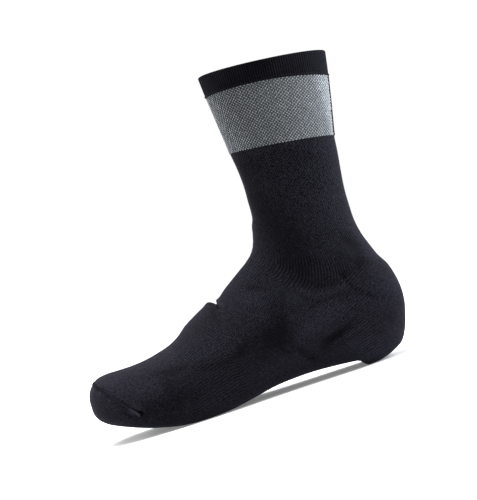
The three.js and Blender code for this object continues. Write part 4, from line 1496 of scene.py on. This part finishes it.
class OVERSHOE_OT_stage(bpy.types.Operator):
    """Set up the pale floor, the soft light and the camera"""

    bl_idname = "overshoe.stage"
    bl_label = "Floor, light and camera"

    def execute(self, context):
        scene = context.scene
        half = FLOOR_LENGTH / 2
        floor = bpy.data.meshes.new("floor")
        corners = [(-half, -half, 0), (half, -half, 0), (half, half, 0), (-half, half, 0)]
        floor.from_pydata(corners, [], [(0, 1, 2, 3)])
        floor.materials.append(floor_finish(scene.overshoe_colours))
        ground = bpy.data.objects.new("floor", floor)
        scene.collection.objects.link(ground)
        world = bpy.data.worlds.new("white room")
        world.use_nodes = True
        backdrop = world.node_tree.nodes["Background"].inputs
        backdrop["Color"].default_value = (1, 1, 1, 1)
        backdrop["Strength"].default_value = WORLD_STRENGTH
        scene.world = world
        scene.view_settings.view_transform = "Standard"
        for light in LIGHTS:
            soft_light(*light)
        self.camera(scene)
        return {"FINISHED"}

    def camera(self, scene):
        """The camera looks square at the outer side, rolled as far as the photographed overshoe is tipped."""
        lens = bpy.data.cameras.new("camera")
        lens.sensor_width = 36
        lens.lens = lens.sensor_width * CAMERA_DISTANCE / VIEW_WIDTH
        camera = bpy.data.objects.new("camera", lens)
        scene.collection.objects.link(camera)
        camera.location = (CAMERA_AIM[0], -CAMERA_DISTANCE, CAMERA_AIM[1])
        right = (math.cos(CAMERA_ROLL), 0, -math.sin(CAMERA_ROLL))
        up = (math.sin(CAMERA_ROLL), 0, math.cos(CAMERA_ROLL))
        turn = Matrix((right, up, (0, -1, 0))).transposed()
        camera.rotation_euler = turn.to_euler()
        scene.camera = camera


STEPS = ("stage", "knit", "seams", "band", "stitches", "cuff")


class OVERSHOE_PT_panel(bpy.types.Panel):
    """The overshoe's sizes, colours and pieces"""

    bl_idname = "OVERSHOE_PT_panel"
    bl_label = "Knitted overshoe"
    bl_space_type = "VIEW_3D"
    bl_region_type = "UI"
    bl_category = "Overshoe"

    def draw(self, context):
        for group in (context.scene.overshoe_sizes, context.scene.overshoe_colours):
            box = self.layout.box()
            for name in group.__annotations__:
                box.prop(group, name)
        for step in STEPS:
            self.layout.operator(f"overshoe.{step}")


CLASSES = (
    OvershoeSizes,
    OvershoeColours,
    OVERSHOE_OT_stage,
    OVERSHOE_OT_knit,
    OVERSHOE_OT_seams,
    OVERSHOE_OT_band,
    OVERSHOE_OT_stitches,
    OVERSHOE_OT_cuff,
    OVERSHOE_PT_panel,
)


def register():
    for each in CLASSES:
        bpy.utils.register_class(each)
    bpy.types.Scene.overshoe_sizes = bpy.props.PointerProperty(type=OvershoeSizes)
    bpy.types.Scene.overshoe_colours = bpy.props.PointerProperty(type=OvershoeColours)


def unregister():
    del bpy.types.Scene.overshoe_colours
    del bpy.types.Scene.overshoe_sizes
    for each in reversed(CLASSES):
        bpy.utils.unregister_class(each)


def main():
    register()
    for step in STEPS:
        getattr(bpy.ops.overshoe, step)()


if __name__ == "__main__":
    main()
